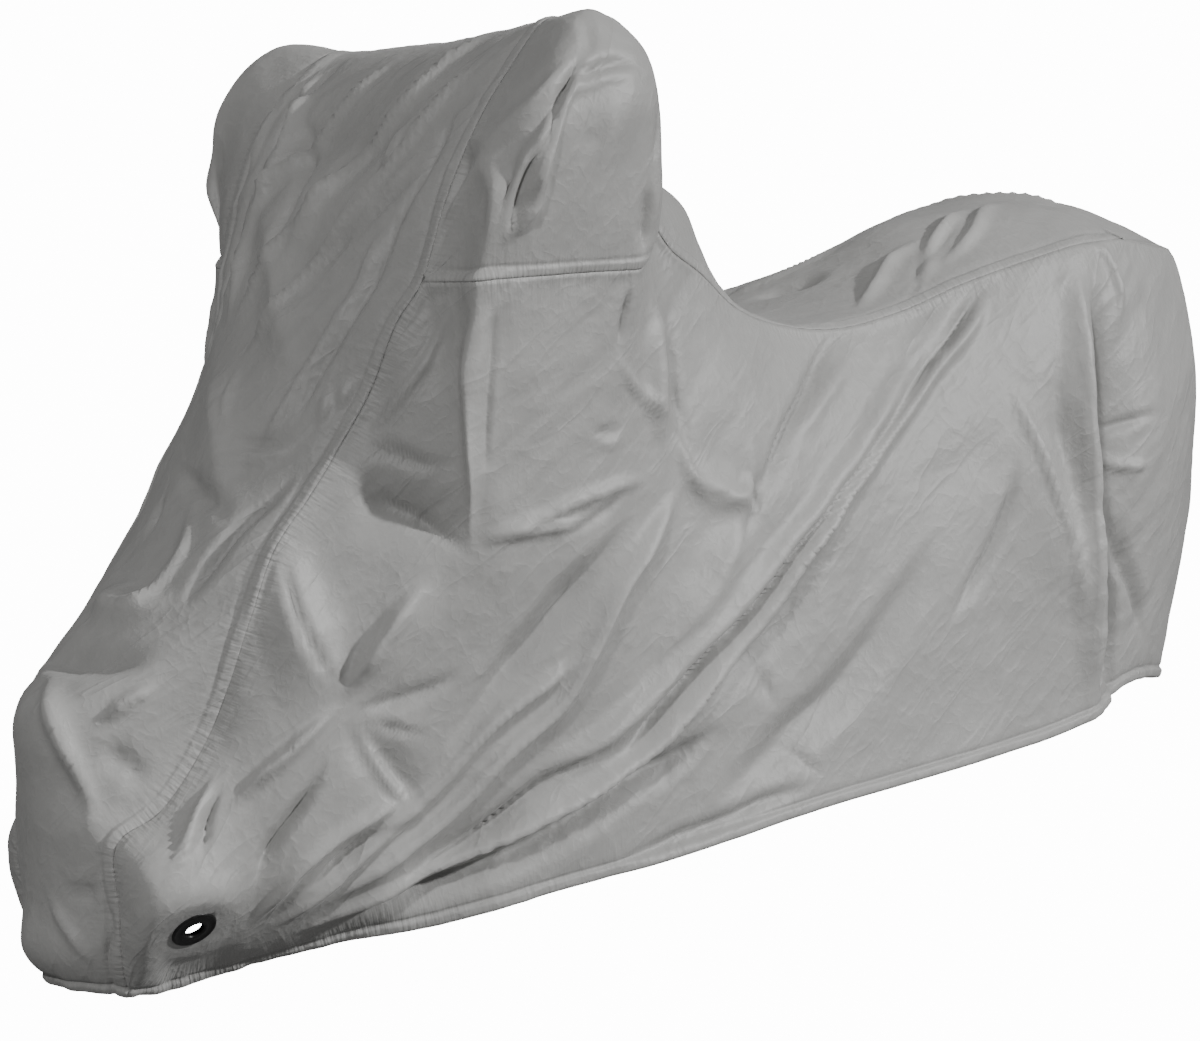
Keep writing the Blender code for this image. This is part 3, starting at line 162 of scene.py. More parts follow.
leftFolds = foldTable(
    ("knee plane", 0.078, 0.016, 0.9, -0.2, (-0.03, 0.67), (0.035, 0.58), (0.11, 0.45)),
    ("brow plane", 0.072, -0.014, 0.9, 0.0, (0.08, 0.735), (0.19, 0.675), (0.28, 0.62)),
    ("corner plane", 0.060, 0.009, 0.9, -0.4, (0.268, 0.99), (0.268, 0.86), (0.270, 0.74), (0.272, 0.61)),
    ("waist plane", 0.062, 0.013, 0.9, 0.1, (0.75, 0.67), (0.65, 0.55), (0.54, 0.45)),
    ("waist brow", 0.046, 0.010, 0.9, 0.0, (0.60, 0.71), (0.68, 0.68), (0.76, 0.65)),
    ("star plane", 0.060, 0.011, 0.9, 0.0, (0.10, 0.45), (0.16, 0.51), (0.23, 0.61)),
    ("star floor", 0.050, -0.010, 0.9, 0.0, (0.10, 0.43), (0.16, 0.37), (0.22, 0.30)),
    ("flank plane", 0.070, -0.013, 0.8, 0.2, (0.90, 0.62), (0.78, 0.50), (0.62, 0.38)),
    ("rump plane", 0.080, 0.010, 0.9, -0.3, (1.24, 0.83), (1.29, 0.66), (1.35, 0.44)),
    ("tail plane", 0.07, -0.04, 0.9, 0.55, (1.45, 0.98), (1.425, 0.80), (1.410, 0.62), (1.418, 0.45),
     (1.425, 0.28)),
    ("sweep crest", 0.026, 0.015, 0.7, -0.3, (1.27, 0.935), (0.92, 0.655), (0.57, 0.36), (0.29, 0.23),
     (0.05, 0.15)),
    ("sweep gutter", 0.019, -0.013, 0.7, -0.2, (1.27, 0.96), (1.07, 0.785), (0.72, 0.515), (0.49, 0.335)),
    ("upper sweep", 0.030, 0.012, 0.4, 0.0, (1.12, 0.86), (0.91, 0.68), (0.53, 0.41), (0.29, 0.26)),
    ("under sweep", 0.032, -0.018, 0.5, 0.2, (0.70, 0.37), (0.56, 0.32), (0.37, 0.235), (0.12, 0.155)),
    ("wedge", 0.026, -0.018, 0.7, 0.1, (0.51, 0.37), (0.41, 0.33), (0.27, 0.24), (0.17, 0.19)),
    ("waist ridge", 0.028, 0.015, 0.5, 0.2, (0.62, 0.70), (0.49, 0.57), (0.40, 0.42), (0.33, 0.36),
     (0.19, 0.245), (0.06, 0.185)),
    ("waist gully", 0.038, -0.018, 0.3, 0.1, (0.53, 0.67), (0.385, 0.535), (0.235, 0.36)),
    ("second ridge", 0.022, 0.011, 0.6, 0.2, (0.46, 0.50), (0.345, 0.43), (0.245, 0.34), (0.115, 0.24),
     (0.02, 0.175)),
    ("third ridge", 0.018, 0.009, 0.7, -0.2, (0.21, 0.32), (0.12, 0.29), (0.045, 0.255), (-0.015, 0.18)),
    ("third gutter", 0.016, -0.008, 0.6, 0.0, (0.21, 0.295), (0.12, 0.262), (0.055, 0.225)),
    ("hem crease", 0.020, -0.009, 0.6, 0.2, (0.84, 0.27), (0.76, 0.265), (0.69, 0.245), (0.50, 0.20)),
    ("seat gutter", 0.026, -0.013, 0.8, 0.5, (1.02, 0.92), (0.90, 0.83), (0.80, 0.73), (0.72, 0.65)),
    ("seat rise", 0.022, 0.007, 0.5, 0.0, (1.02, 0.87), (0.90, 0.79), (0.82, 0.72)),
    ("tail roll", 0.050, 0.016, 0.3, 0.0, (1.41, 1.00), (1.38, 0.68), (1.392, 0.26)),
    ("tail edge", 0.014, 0.005, 0.9, 0.0, (1.423, 0.97), (1.395, 0.87), (1.378, 0.71), (1.387, 0.48),
     (1.392, 0.34)),
    ("tail gutter", 0.036, -0.022, 0.4, 0.1, (1.47, 0.95), (1.437, 0.84), (1.417, 0.66), (1.45, 0.47),
     (1.47, 0.28)),
    ("tail arc", 0.018, 0.007, 0.6, 0.0, (1.44, 1.00), (1.49, 0.985), (1.504, 0.93), (1.488, 0.86)),
    ("tail line", 0.015, -0.006, 0.7, 0.0, (1.39, 0.71), (1.48, 0.73), (1.57, 0.75)),
    ("tail crumple", 0.014, 0.006, 0.7, 0.3, (1.41, 0.71), (1.46, 0.672), (1.55, 0.665)),
    ("tail streak", 0.024, -0.010, 0.5, 0.3, (1.45, 0.63), (1.485, 0.535), (1.535, 0.45), (1.58, 0.36)),
    ("rump crease", 0.017, 0.008, 0.8, 0.3, (1.248, 0.81), (1.29, 0.665), (1.345, 0.52), (1.35, 0.44)),
    ("rump hollow", 0.034, -0.007, 0.2, 0.0, (1.33, 0.85), (1.345, 0.70), (1.385, 0.52)),
    ("flank streak", 0.020, -0.010, 0.6, 0.2, (1.237, 0.70), (1.213, 0.62), (1.15, 0.53), (1.09, 0.46)),
    ("flank gutter", 0.050, -0.014, 0.2, 0.2, (1.10, 0.61), (0.94, 0.44), (0.82, 0.36), (0.64, 0.25)),
    ("waist drop", 0.030, 0.013, 0.3, 0.0, (0.575, 0.98), (0.565, 0.85), (0.57, 0.72)),
    ("waist gutter", 0.022, -0.007, 0.4, 0.0, (0.617, 0.96), (0.612, 0.82), (0.632, 0.71)),
    ("cheek pocket", 0.012, -0.006, 0.6, 0.3, (0.487, 0.965), (0.479, 0.87)),
    ("cheek facet", 0.016, 0.006, 0.7, 0.2, (0.47, 0.87), (0.51, 0.83), (0.60, 0.775)),
    ("cone left", 0.016, 0.007, 0.8, -0.3, (0.60, 0.77), (0.627, 0.705), (0.66, 0.665)),
    ("cone right", 0.018, 0.007, 0.7, 0.3, (0.745, 0.76), (0.735, 0.69), (0.665, 0.66)),
    ("cone hook", 0.015, -0.008, 0.7, 0.0, (0.745, 0.75), (0.743, 0.66), (0.72, 0.625), (0.697, 0.585)),
    ("crumple high", 0.010, -0.004, 0.6, 0.0, (0.43, 0.78), (0.458, 0.772), (0.487, 0.782)),
    ("crumple low", 0.010, 0.003, 0.7, 0.0, (0.44, 0.765), (0.472, 0.758), (0.495, 0.77)),
    ("tick low", 0.014, 0.007, 0.8, -0.2, (0.275, 0.635), (0.34, 0.65), (0.42, 0.66), (0.472, 0.672)),
    ("tick high", 0.014, 0.007, 0.8, 0.2, (0.28, 0.64), (0.335, 0.656), (0.39, 0.675), (0.45, 0.695),
     (0.55, 0.706)),
    ("tick gutter", 0.013, -0.006, 0.6, 0.0, (0.39, 0.645), (0.45, 0.665), (0.50, 0.69)),
    ("wrinkle low", 0.014, -0.005, 0.6, 0.0, (0.74, 0.44), (0.77, 0.375)),
    ("wrinkle lower", 0.014, -0.005, 0.6, 0.0, (0.79, 0.33), (0.855, 0.28)),
    ("corner edge", 0.022, 0.010, 0.7, 0.1, (0.268, 0.96), (0.266, 0.86), (0.270, 0.74), (0.271, 0.64)),
    ("corner gutter", 0.013, -0.005, 0.5, 0.0, (0.287, 0.95), (0.285, 0.82), (0.288, 0.72)),
    ("lap crest", 0.014, 0.005, 0.7, 0.0, (0.235, 0.965), (0.19, 0.86), (0.15, 0.81), (0.11, 0.775)),
    ("brow mid", 0.014, -0.007, 0.6, 0.2, (0.10, 0.77), (0.16, 0.757), (0.21, 0.737), (0.25, 0.74)),
    ("brow low", 0.014, -0.006, 0.6, 0.2, (0.11, 0.713), (0.15, 0.693), (0.20, 0.668), (0.262, 0.63)),
    ("knee crease", 0.015, -0.009, 0.6, 0.2, (-0.02, 0.66), (0.035, 0.575), (0.083, 0.495), (0.10, 0.46)),
    ("star south", 0.015, 0.008, 0.8, 0.0, (0.113, 0.433), (0.165, 0.35), (0.205, 0.30)),
    ("star west", 0.019, 0.011, 0.6, 0.0, (0.105, 0.45), (0.035, 0.41), (-0.06, 0.355)),
    ("star north", 0.022, 0.011, 0.5, 0.0, (0.105, 0.455), (0.15, 0.51), (0.21, 0.59)),
    ("star east", 0.020, -0.008, 0.6, 0.0, (0.113, 0.44), (0.16, 0.44), (0.21, 0.452), (0.28, 0.475)),
    ("star south-east", 0.012, -0.004, 0.6, 0.0, (0.138, 0.425), (0.175, 0.408), (0.225, 0.396)),
    ("nose band", 0.018, 0.011, 0.7, 0.2, (-0.08, 0.41), (-0.115, 0.355), (-0.155, 0.29)),
    ("nose facet", 0.016, -0.009, 0.6, 0.2, (-0.067, 0.385), (-0.093, 0.35), (-0.09, 0.305)),
    ("nose gutter", 0.024, -0.013, 0.5, 0.1, (0.087, 0.39), (0.055, 0.345), (0.01, 0.30), (-0.014, 0.24)),
    ("eyelet break", 0.014, 0.006, 0.8, -0.2, (-0.14, 0.262), (-0.09, 0.257), (-0.02, 0.228)),
)
rightFolds = foldTable(
    ("knee plane", 0.078, 0.014, 0.9, -0.1, (-0.02, 0.64), (0.05, 0.55), (0.12, 0.43)),
    ("brow plane", 0.070, -0.012, 0.9, 0.0, (0.09, 0.76), (0.18, 0.69), (0.27, 0.66)),
    ("waist plane", 0.064, 0.012, 0.9, 0.1, (0.70, 0.70), (0.60, 0.54), (0.50, 0.44)),
    ("rump plane", 0.080, 0.010, 0.9, -0.3, (1.20, 0.86), (1.25, 0.66), (1.31, 0.46)),
    ("tail plane", 0.07, -0.04, 0.9, 0.4, (1.45, 0.97), (1.43, 0.66), (1.44, 0.30)),
    ("sweep crest", 0.030, 0.016, 0.6, -0.3, (1.18, 0.90), (0.92, 0.64), (0.66, 0.42), (0.42, 0.27),
     (0.10, 0.17)),
    ("sweep gutter", 0.026, -0.014, 0.6, 0.2, (1.10, 0.90), (0.86, 0.66), (0.60, 0.46)),
    ("under sweep", 0.034, -0.014, 0.4, 0.2, (0.76, 0.40), (0.52, 0.28), (0.30, 0.20)),
    ("waist ridge", 0.030, 0.014, 0.5, 0.2, (0.56, 0.68), (0.44, 0.50), (0.30, 0.35), (0.09, 0.23)),
    ("waist gully", 0.040, -0.018, 0.3, 0.1, (0.48, 0.70), (0.34, 0.52), (0.17, 0.36)),
    ("second ridge", 0.020, 0.010, 0.7, 0.0, (0.40, 0.44), (0.26, 0.31), (0.12, 0.22)),
    ("tail roll", 0.050, 0.016, 0.3, 0.0, (1.42, 1.00), (1.40, 0.65), (1.41, 0.26)),
    ("tail gutter", 0.038, -0.020, 0.4, 0.1, (1.49, 0.95), (1.46, 0.65), (1.48, 0.28)),
    ("tail streak", 0.022, -0.009, 0.5, 0.2, (1.46, 0.72), (1.52, 0.58), (1.58, 0.42)),
    ("rump crease", 0.018, 0.008, 0.8, 0.2, (1.20, 0.86), (1.26, 0.66), (1.32, 0.46)),
    ("flank gutter", 0.050, -0.014, 0.2, 0.2, (1.24, 0.70), (1.10, 0.50), (0.90, 0.36)),
    ("flank ridge", 0.018, 0.008, 0.7, 0.0, (1.12, 0.58), (0.98, 0.44), (0.82, 0.34)),
    ("waist drop", 0.034, 0.014, 0.3, 0.0, (0.58, 0.98), (0.56, 0.84), (0.55, 0.70)),
    ("waist gutter", 0.022, -0.007, 0.4, 0.0, (0.64, 0.96), (0.63, 0.84), (0.65, 0.68)),
    ("waist cone", 0.016, 0.007, 0.8, 0.2, (0.70, 0.84), (0.67, 0.75), (0.60, 0.66)),
    ("seat gutter", 0.034, -0.014, 0.5, 0.2, (0.96, 0.88), (0.86, 0.78), (0.74, 0.70)),
    ("corner edge", 0.022, 0.009, 0.6, 0.0, (0.270, 0.97), (0.268, 0.78), (0.262, 0.60)),
    ("corner tick", 0.014, 0.006, 0.8, 0.0, (0.265, 0.66), (0.36, 0.68), (0.47, 0.70)),
    ("knee crease", 0.020, -0.010, 0.6, 0.0, (0.00, 0.62), (0.06, 0.54), (0.11, 0.45)),
    ("star west", 0.018, 0.009, 0.7, 0.0, (0.11, 0.44), (0.02, 0.39), (-0.06, 0.33)),
    ("star north", 0.020, 0.009, 0.6, 0.0, (0.11, 0.45), (0.17, 0.54), (0.20, 0.62)),
    ("nose gutter", 0.024, -0.012, 0.5, 0.0, (0.09, 0.38), (0.02, 0.31), (-0.03, 0.24)),
    ("hem crease", 0.020, -0.008, 0.6, 0.2, (0.90, 0.28), (0.74, 0.25), (0.55, 0.20)),
)
centreFolds = foldTable(
    ("face hollow", 0.125, -0.014, 0.4, 0.1, (1.27, 0.20), (1.25, 0.03), (1.22, -0.15)),
    ("face plane", 0.070, 0.010, 0.9, 0.2, (1.17, 0.17), (1.08, 0.06), (0.97, -0.05), (0.90, -0.13)),
    ("apron plane", 0.070, 0.009, 0.9, 0.0, (0.92, 0.12), (0.84, 0.02), (0.74, -0.06), (0.66, -0.08)),
    ("long crest one", 0.015, 0.01, 0.8, 0.3, (1.44, -0.14), (1.30, -0.08), (1.12, 0.02), (0.98, 0.10)),
    ("long crest two", 0.013, 0.009, 0.8, -0.2, (1.38, -0.19), (1.20, -0.12), (1.02, -0.03), (0.93, 0.03)),
    ("long crest three", 0.014, 0.009, 0.8, 0.2, (1.40, 0.02), (1.28, 0.08), (1.14, 0.17)),
    ("seam streak one", 0.011, -0.007, 0.8, 0.0, (1.30, -0.205), (1.12, -0.185), (0.96, -0.16),
     (0.84, -0.13)),
    ("seam streak two", 0.011, 0.007, 0.8, 0.0, (1.12, -0.165), (0.95, -0.135), (0.80, -0.09)),
    ("far streak one", 0.014, -0.009, 0.8, 0.0, (1.42, 0.16), (1.24, 0.19), (1.05, 0.20), (0.90, 0.16)),
    ("far streak two", 0.013, 0.008, 0.8, 0.0, (1.46, 0.20), (1.32, 0.225), (1.18, 0.225)),
    ("front crest far", 0.022, 0.011, 0.7, 0.2, (1.405, 0.21), (1.25, 0.153), (1.165, 0.144),
     (1.085, 0.154), (0.965, 0.115)),
    ("front edge far", 0.014, -0.006, 0.6, 0.0, (1.19, 0.178), (1.10, 0.165), (1.03, 0.157)),
    ("front gutter far", 0.020, -0.008, 0.5, 0.0, (1.305, 0.154), (1.21, 0.08), (1.11, 0.06), (1.03, 0.06)),
    ("front dash far", 0.013, -0.005, 0.5, 0.0, (1.35, 0.195), (1.295, 0.19)),
    ("front crest middle", 0.022, 0.009, 0.7, 0.2, (1.25, -0.02), (1.17, -0.01), (1.05, 0.025)),
    ("front gutter near", 0.022, -0.009, 0.6, 0.0, (1.22, -0.21), (1.18, -0.16), (1.13, -0.117),
     (1.07, -0.064), (1.03, -0.035)),
    ("front crest near", 0.018, 0.008, 0.6, 0.0, (1.24, -0.18), (1.16, -0.13), (1.08, -0.085)),
    ("front dash near", 0.013, 0.005, 0.6, 0.0, (1.28, -0.104), (1.23, -0.107), (1.195, -0.114)),
    ("apron pair high", 0.012, -0.006, 0.7, 0.0, (0.80, -0.02), (0.813, -0.10), (0.82, -0.152)),
    ("apron pair low", 0.013, 0.006, 0.7, 0.0, (0.775, -0.02), (0.794, -0.10), (0.812, -0.155)),
    ("apron upright", 0.013, 0.005, 0.7, 0.0, (0.92, 0.026), (0.878, 0.010), (0.825, -0.015)),
    ("apron gutter", 0.024, -0.009, 0.6, 0.2, (0.775, 0.08), (0.745, 0.012), (0.718, -0.066),
     (0.69, -0.114)),
    ("apron tick", 0.015, -0.007, 0.6, 0.0, (0.726, 0.068), (0.68, 0.065), (0.657, 0.06)),
    ("apron thumb", 0.013, 0.005, 0.6, 0.0, (0.90, -0.184), (0.86, -0.197)),
    ("apron finger", 0.013, 0.005, 0.6, 0.0, (0.89, -0.165), (0.834, -0.175)),
    ("knee gutter", 0.022, -0.011, 0.5, 0.1, (0.785, -0.166), (0.735, -0.144), (0.686, -0.122),
     (0.615, -0.114), (0.545, -0.109)),
    ("nose lens", 0.020, 0.008, 0.6, -0.3, (0.73, 0.0), (0.65, -0.057), (0.574, -0.05), (0.495, 0.01)),
    ("nose overhang", 0.042, 0.013, 0.3, 0.0, (0.56, 0.09), (0.555, -0.02), (0.565, -0.10)),
    ("nose recess", 0.042, -0.014, 0.5, 0.2, (0.455, 0.10), (0.460, -0.036), (0.46, -0.095),
     (0.455, -0.14)),
    ("nose peak", 0.020, 0.012, 0.7, 0.0, (0.365, -0.105), (0.40, -0.125), (0.435, -0.153)),
    ("nose shadow", 0.03, -0.007, 0.6, 0.0, (0.34, -0.10), (0.322, -0.14), (0.302, -0.174)),
    ("nose edge", 0.024, 0.014, 0.7, 0.2, (0.44, 0.03), (0.38, -0.035), (0.31, -0.079), (0.225, -0.108)),
    ("chin step", 0.014, -0.007, 0.7, 0.2, (0.143, -0.04), (0.150, -0.088), (0.169, -0.121)),
    ("chin light", 0.016, 0.006, 0.6, 0.0, (0.14, -0.01), (0.097, -0.056), (0.042, -0.095)),
    ("chin gutter", 0.013, -0.006, 0.6, 0.0, (0.152, -0.113), (0.094, -0.122), (0.035, -0.105)),
    ("ridge roll", 0.022, 0.006, 0.5, 0.0, (1.48, -0.235), (1.526, -0.144), (1.576, -0.051), (1.65, 0.07),
     (1.715, 0.17)),
    ("ridge gutter", 0.018, -0.005, 0.5, 0.0, (1.46, 0.10), (1.54, 0.02), (1.60, -0.08), (1.66, -0.17)),
    ("nape gutter", 0.026, -0.008, 0.3, 0.0, (1.74, -0.12), (1.86, -0.06), (1.98, -0.02)),
    ("nape crest", 0.024, 0.008, 0.4, 0.0, (1.76, 0.10), (1.88, 0.05), (2.02, 0.03)),
    ("seat crest one", 0.020, 0.010, 0.7, 0.2, (2.56, -0.05), (2.45, -0.10), (2.385, -0.145),
     (2.30, -0.175)),
    ("seat trough one", 0.016, -0.008, 0.6, 0.0, (2.52, -0.075), (2.445, -0.113), (2.367, -0.152),
     (2.30, -0.185)),
    ("seat crest two", 0.018, 0.008, 0.6, 0.0, (2.62, -0.05), (2.475, -0.14), (2.40, -0.16)),
    ("seat crest three", 0.020, 0.009, 0.7, 0.2, (2.44, -0.088), (2.36, -0.09), (2.22, -0.16)),
    ("seat gutter", 0.030, -0.010, 0.3, 0.0, (2.30, -0.03), (2.20, 0.06)),
    ("seat ripple", 0.018, 0.006, 0.5, 0.0, (2.40, 0.02), (2.28, 0.08), (2.18, 0.14)),
    ("hump ripple", 0.022, 0.006, 0.4, 0.0, (2.74, -0.13), (2.66, -0.02), (2.56, 0.10)),
)
leftHeadFolds = foldTable(
    ("brim streak one", 0.011, -0.007, 0.8, 0.0, (0.41, 1.27), (0.35, 1.17), (0.31, 1.08), (0.30, 1.01)),
    ("brim streak two", 0.011, 0.007, 0.8, 0.0, (0.45, 1.29), (0.38, 1.21), (0.345, 1.14), (0.33, 1.05)),
    ("face streak", 0.011, 0.005, 0.8, 0.0, (0.45, 1.20), (0.44, 1.10), (0.42, 1.02)),
    ("cap gutter", 0.016, -0.009, 0.6, -0.2, (0.367, 1.212), (0.391, 1.228), (0.423, 1.244),
     (0.46, 1.256), (0.51, 1.252)),
    ("cap edge", 0.014, 0.006, 0.8, 0.0, (0.365, 1.195), (0.40, 1.215), (0.44, 1.232), (0.50, 1.238)),
    ("near gutter", 0.015, -0.005, 0.6, 0.0, (0.408, 1.251), (0.37, 1.214), (0.303, 1.133), (0.284, 1.06),
     (0.276, 1.03)),
    ("near crest", 0.014, 0.006, 0.7, 0.0, (0.40, 1.27), (0.35, 1.215), (0.29, 1.145), (0.268, 1.07),
     (0.262, 1.015)),
    ("corner edge", 0.018, 0.009, 0.8, 0.2, (0.37, 1.20), (0.338, 1.154), (0.332, 1.108), (0.329, 1.063),
     (0.29, 1.01)),
    ("face line", 0.011, -0.004, 0.6, 0.0, (0.412, 1.188), (0.408, 1.156), (0.391, 1.124), (0.387, 1.10)),
    ("face low", 0.013, 0.005, 0.7, 0.0, (0.34, 1.085), (0.331, 1.065), (0.309, 1.042), (0.29, 1.012)),
    ("top gutter", 0.015, -0.009, 0.7, 0.0, (0.446, 1.333), (0.43, 1.288), (0.414, 1.252)),
    ("back line", 0.012, -0.004, 0.6, 0.0, (0.525, 1.20), (0.521, 1.157), (0.512, 1.11)),
    ("back crease", 0.022, -0.008, 0.5, 0.0, (0.508, 1.10), (0.504, 0.99)),
)
rightHeadFolds = foldTable(
    ("cap gutter", 0.017, -0.008, 0.6, -0.2, (0.36, 1.19), (0.42, 1.225), (0.50, 1.22)),
    ("corner edge", 0.020, 0.009, 0.7, 0.2, (0.37, 1.19), (0.34, 1.10), (0.31, 1.01)),
    ("back crease", 0.024, -0.009, 0.5, 0.0, (0.51, 1.15), (0.49, 1.00)),
    ("cheek crest", 0.026, 0.009, 0.6, 0.0, (0.42, 1.20), (0.40, 1.04)),
)

# What all folds share: how much higher and crisper they are than in their rows, how round at the very crest,
# how far they wander off their marks, and how they taper. All of them fade beside the seams.
foldShape = {"scale": 1.5, "crisper": 0.28, "round": 0.004, "stepsPerMark": 6,
             "taper": 5.0, "taperShare": 0.40, "narrow": 0.30}
foldWander = {"size": 0.075, "reach": 0.0045, "seeds": (5, 6)}
seamEase = 0.014

# The unevenness of the cloth between its folds: the size of its waves and how high they stand. The long
# waves of a side panel run with its sweeps.
unevenness = [
    {"size": (0.300, 0.150), "height": 0.0035, "seed": 1, "flat": False},
    {"size": (0.150, 0.090), "height": 0.0034, "seed": 2, "flat": True},
    {"size": (0.055, 0.035), "height": 0.0011, "seed": 3, "flat": True},
]
pleats = {"size": (0.36, 0.034), "height": 0.0019, "patch": (0.30, 0.16), "drift": 0.35, "driftSize": 0.07,
          "seeds": (31, 32, 33)}
sweepTurn = {"side": 40.0, "centre": -38.0, "head": 62.0}

# The creases that hang below the corners of a side panel's top edge are let out: the row of falls that each
# hangs from, how many columns it takes on either side, and how far up the cloth it starts.
creaseEases = (
    {"row": "collar", "columns": 34, "passes": 90, "below": 1.0, "blend": 0.30},
    {"row": "corner", "columns": 50, "passes": 420, "below": 0.66, "blend": 0.22},
    {"row": "waist", "columns": 34, "passes": 260, "below": 0.98, "blend": 0.30},
)

# The sewn edges: a doubled band on one side of each seam, the band at the hem with its elastic, the groove
# beside each band, and how far in their stitches run.
seamLap = {"width": 0.0160, "rise": 0.0024, "groove": 0.0015, "stitches": (0.0035, 0.0120)}
cheekLap = {"width": 0.0120, "rise": 0.0016, "groove": 0.0010, "stitches": (0.003, 0.0090)}
hemBand = {"width": 0.0140, "rise": 0.0030, "groove": 0.0018, "stitches": (0.0035, 0.0105)}
backSeamStitches = (0.003,)
grooveShape = {"gap": 0.0035, "width": 0.003}
gathers = {"pitch": 0.019, "height": 0.0045, "reach": 0.030, "least": 0.22, "depth": 0.09, "onBand": 0.3,
           "noseEnd": 0.33, "noseEase": 0.25, "tailStart": 1.46, "tailEase": 0.10, "seed": 51}
thread = {"pitch": 0.0042, "length": 0.0034, "radius": 0.00038, "flatness": 1.3, "rise": 0.0006,
          "sunk": 0.55}

eyeletRing = {"bore": 0.0125, "neck": 0.0172, "outer": 0.0310, "back": 0.0275, "proud": 0.0042,
              "flat": 0.043, "reach": 0.090, "hole": 0.022}

# How the cloth looks: its colour, the heights of its fine reliefs, and the sizes of their patterns.
clothLook = {"colour": (0.335, 0.333, 0.325), "weavePitch": 0.0009, "coarse": 0.0006}
reliefs = {"pleat": 0.0011, "fine": 0.00035, "seamPucker": 0.0030, "hemPucker": 0.0060, "weave": 0.00005}
crinkles = {"coarse": {"Scale": 13.0, "Bend": 0.05}, "pleat": {"Scale": 4.5, "Bend": 0.16},
            "fine": {"Scale": 38.0, "Bend": 0.02}, "scuff": {"Scale": 320.0, "Bend": 0.01}}
puckers = {"seam": {"Pitch": 0.0065, "Reach": 0.020}, "hem": {"Pitch": 0.0055, "Reach": 0.026}}
mainGrain = (0.3, 0.7)    # the part of a noise texture's values that most of them lie in


def smoothRows(rows, cells):    # a Catmull-Rom curve through the rows, spaced by distance
    rows = np.asarray(rows, float)
    before = np.vstack([2 * rows[0] - rows[1], rows[:-1]])
    after = np.vstack([rows[1:], 2 * rows[-1] - rows[-2]])
    found = [rows[0]]
    for k, count in enumerate(cells[:len(rows) - 1]):
        ends = (before[k], rows[k], after[k], after[k + 1])
        gaps = [max(np.linalg.norm((b - a)[:3]), 1e-6) ** 0.5 for a, b in zip(ends, ends[1:])]
        slopes = [(b - a) / gap for a, b, gap in zip(ends, ends[1:], gaps)]
        leave = (slopes[0] + slopes[1] - (ends[2] - ends[0]) / (gaps[0] + gaps[1])) * gaps[1]
        arrive = (slopes[1] + slopes[2] - (ends[3] - ends[1]) / (gaps[1] + gaps[2])) * gaps[1]
        for step in range(1, count + 1):
            t = step / count
            found.append((2 * t**3 - 3 * t**2 + 1) * ends[1] + (t**3 - 2 * t**2 + t) * leave
                         + (3 * t**2 - 2 * t**3) * ends[2] + (t**3 - t**2) * arrive)
    return np.array(found)


def reachAlong(points, axis=0):    # distance from the start of each line of points, measured along it
    step = np.linalg.norm(np.diff(points[..., :3], axis=axis), axis=-1)
    start = np.zeros_like(step.take([0], axis=axis))
    return np.concatenate([start, np.cumsum(step, axis=axis)], axis=axis)


def smoothStep(share):
    share = np.clip(share, 0, 1)
    return share * share * (3 - 2 * share)


def fineCells(table):
    return [row.cells * clothSheet["stepsAlong"] for row in table]


def rowsOf(table):    # the number of each named row once the table is spread over its fine cells
    starts = np.concatenate([[0], np.cumsum(fineCells(table))])
    return {row.name: int(start) for row, start in zip(table, starts)}


def evenShares(steps, fine):    # shares from 0 to 1, with close lines within 24 mm of either end
    ends = np.array([0, 0.002, 0.004, 0.007, 0.010, 0.013, 0.017, 0.021]) * fine
    ease = 0.004 * fine
    middle = np.linspace(ends[-1] + ease, 1 - ends[-1] - ease, steps - 2 * len(ends) + 1)
    return np.concatenate([ends, middle, 1 - ends[::-1]])


def centreGrid():    # from the nose to the tail, and from the left seam to the right one
    lines = smoothRows([station[2:] for station in stations], fineCells(stations))
    cx, cz, sx, sy, sz, full, tiltX, tiltZ = lines.T[:, :, None]
    across = 2 * evenShares(clothSheet["rowsAcross"], 2.0)[None] - 1
    crown = 1 - np.abs(across) ** full
    rightShare = (1 + across) / 2
    x = sx + tiltX * rightShare + (cx - sx - tiltX / 2) * crown
    z = sz + tiltZ * rightShare + (cz - sz - tiltZ / 2) * crown
    return np.stack(np.broadcast_arrays(x, sy * across, z), axis=2)


def headGrid(centre, ribs, side):    # from the collar to the waist, and from the cheek seam up
    at = rowsOf(stations)
    seam = centre[at["collar"]:at["waist"] + 1, 0 if side < 0 else -1]
    middle = [row for row in stations if at["collar"] <= at[row.name] < at["waist"]]
    levels = []
    for level in ("foot", "low", "high", "shoulder"):
        points = [np.multiply(getattr(rib, level), (1, side, 1)) for rib in ribs]
        levels.append(smoothRows([seam[0], *points, seam[-1]], fineCells(middle)))
    levels.append(seam)
    spans, steps = len(levels) - 1, 24
    places = evenShares(clothSheet["rowsOnHead"], 2.5) * spans * steps
    known = range(spans * steps + 1)
    columns = [smoothRows(column, [steps] * spans) for column in zip(*levels)]
    found = [[np.interp(places, known, column[:, k]) for k in range(3)] for column in columns]
    return np.array(found).transpose(0, 2, 1)


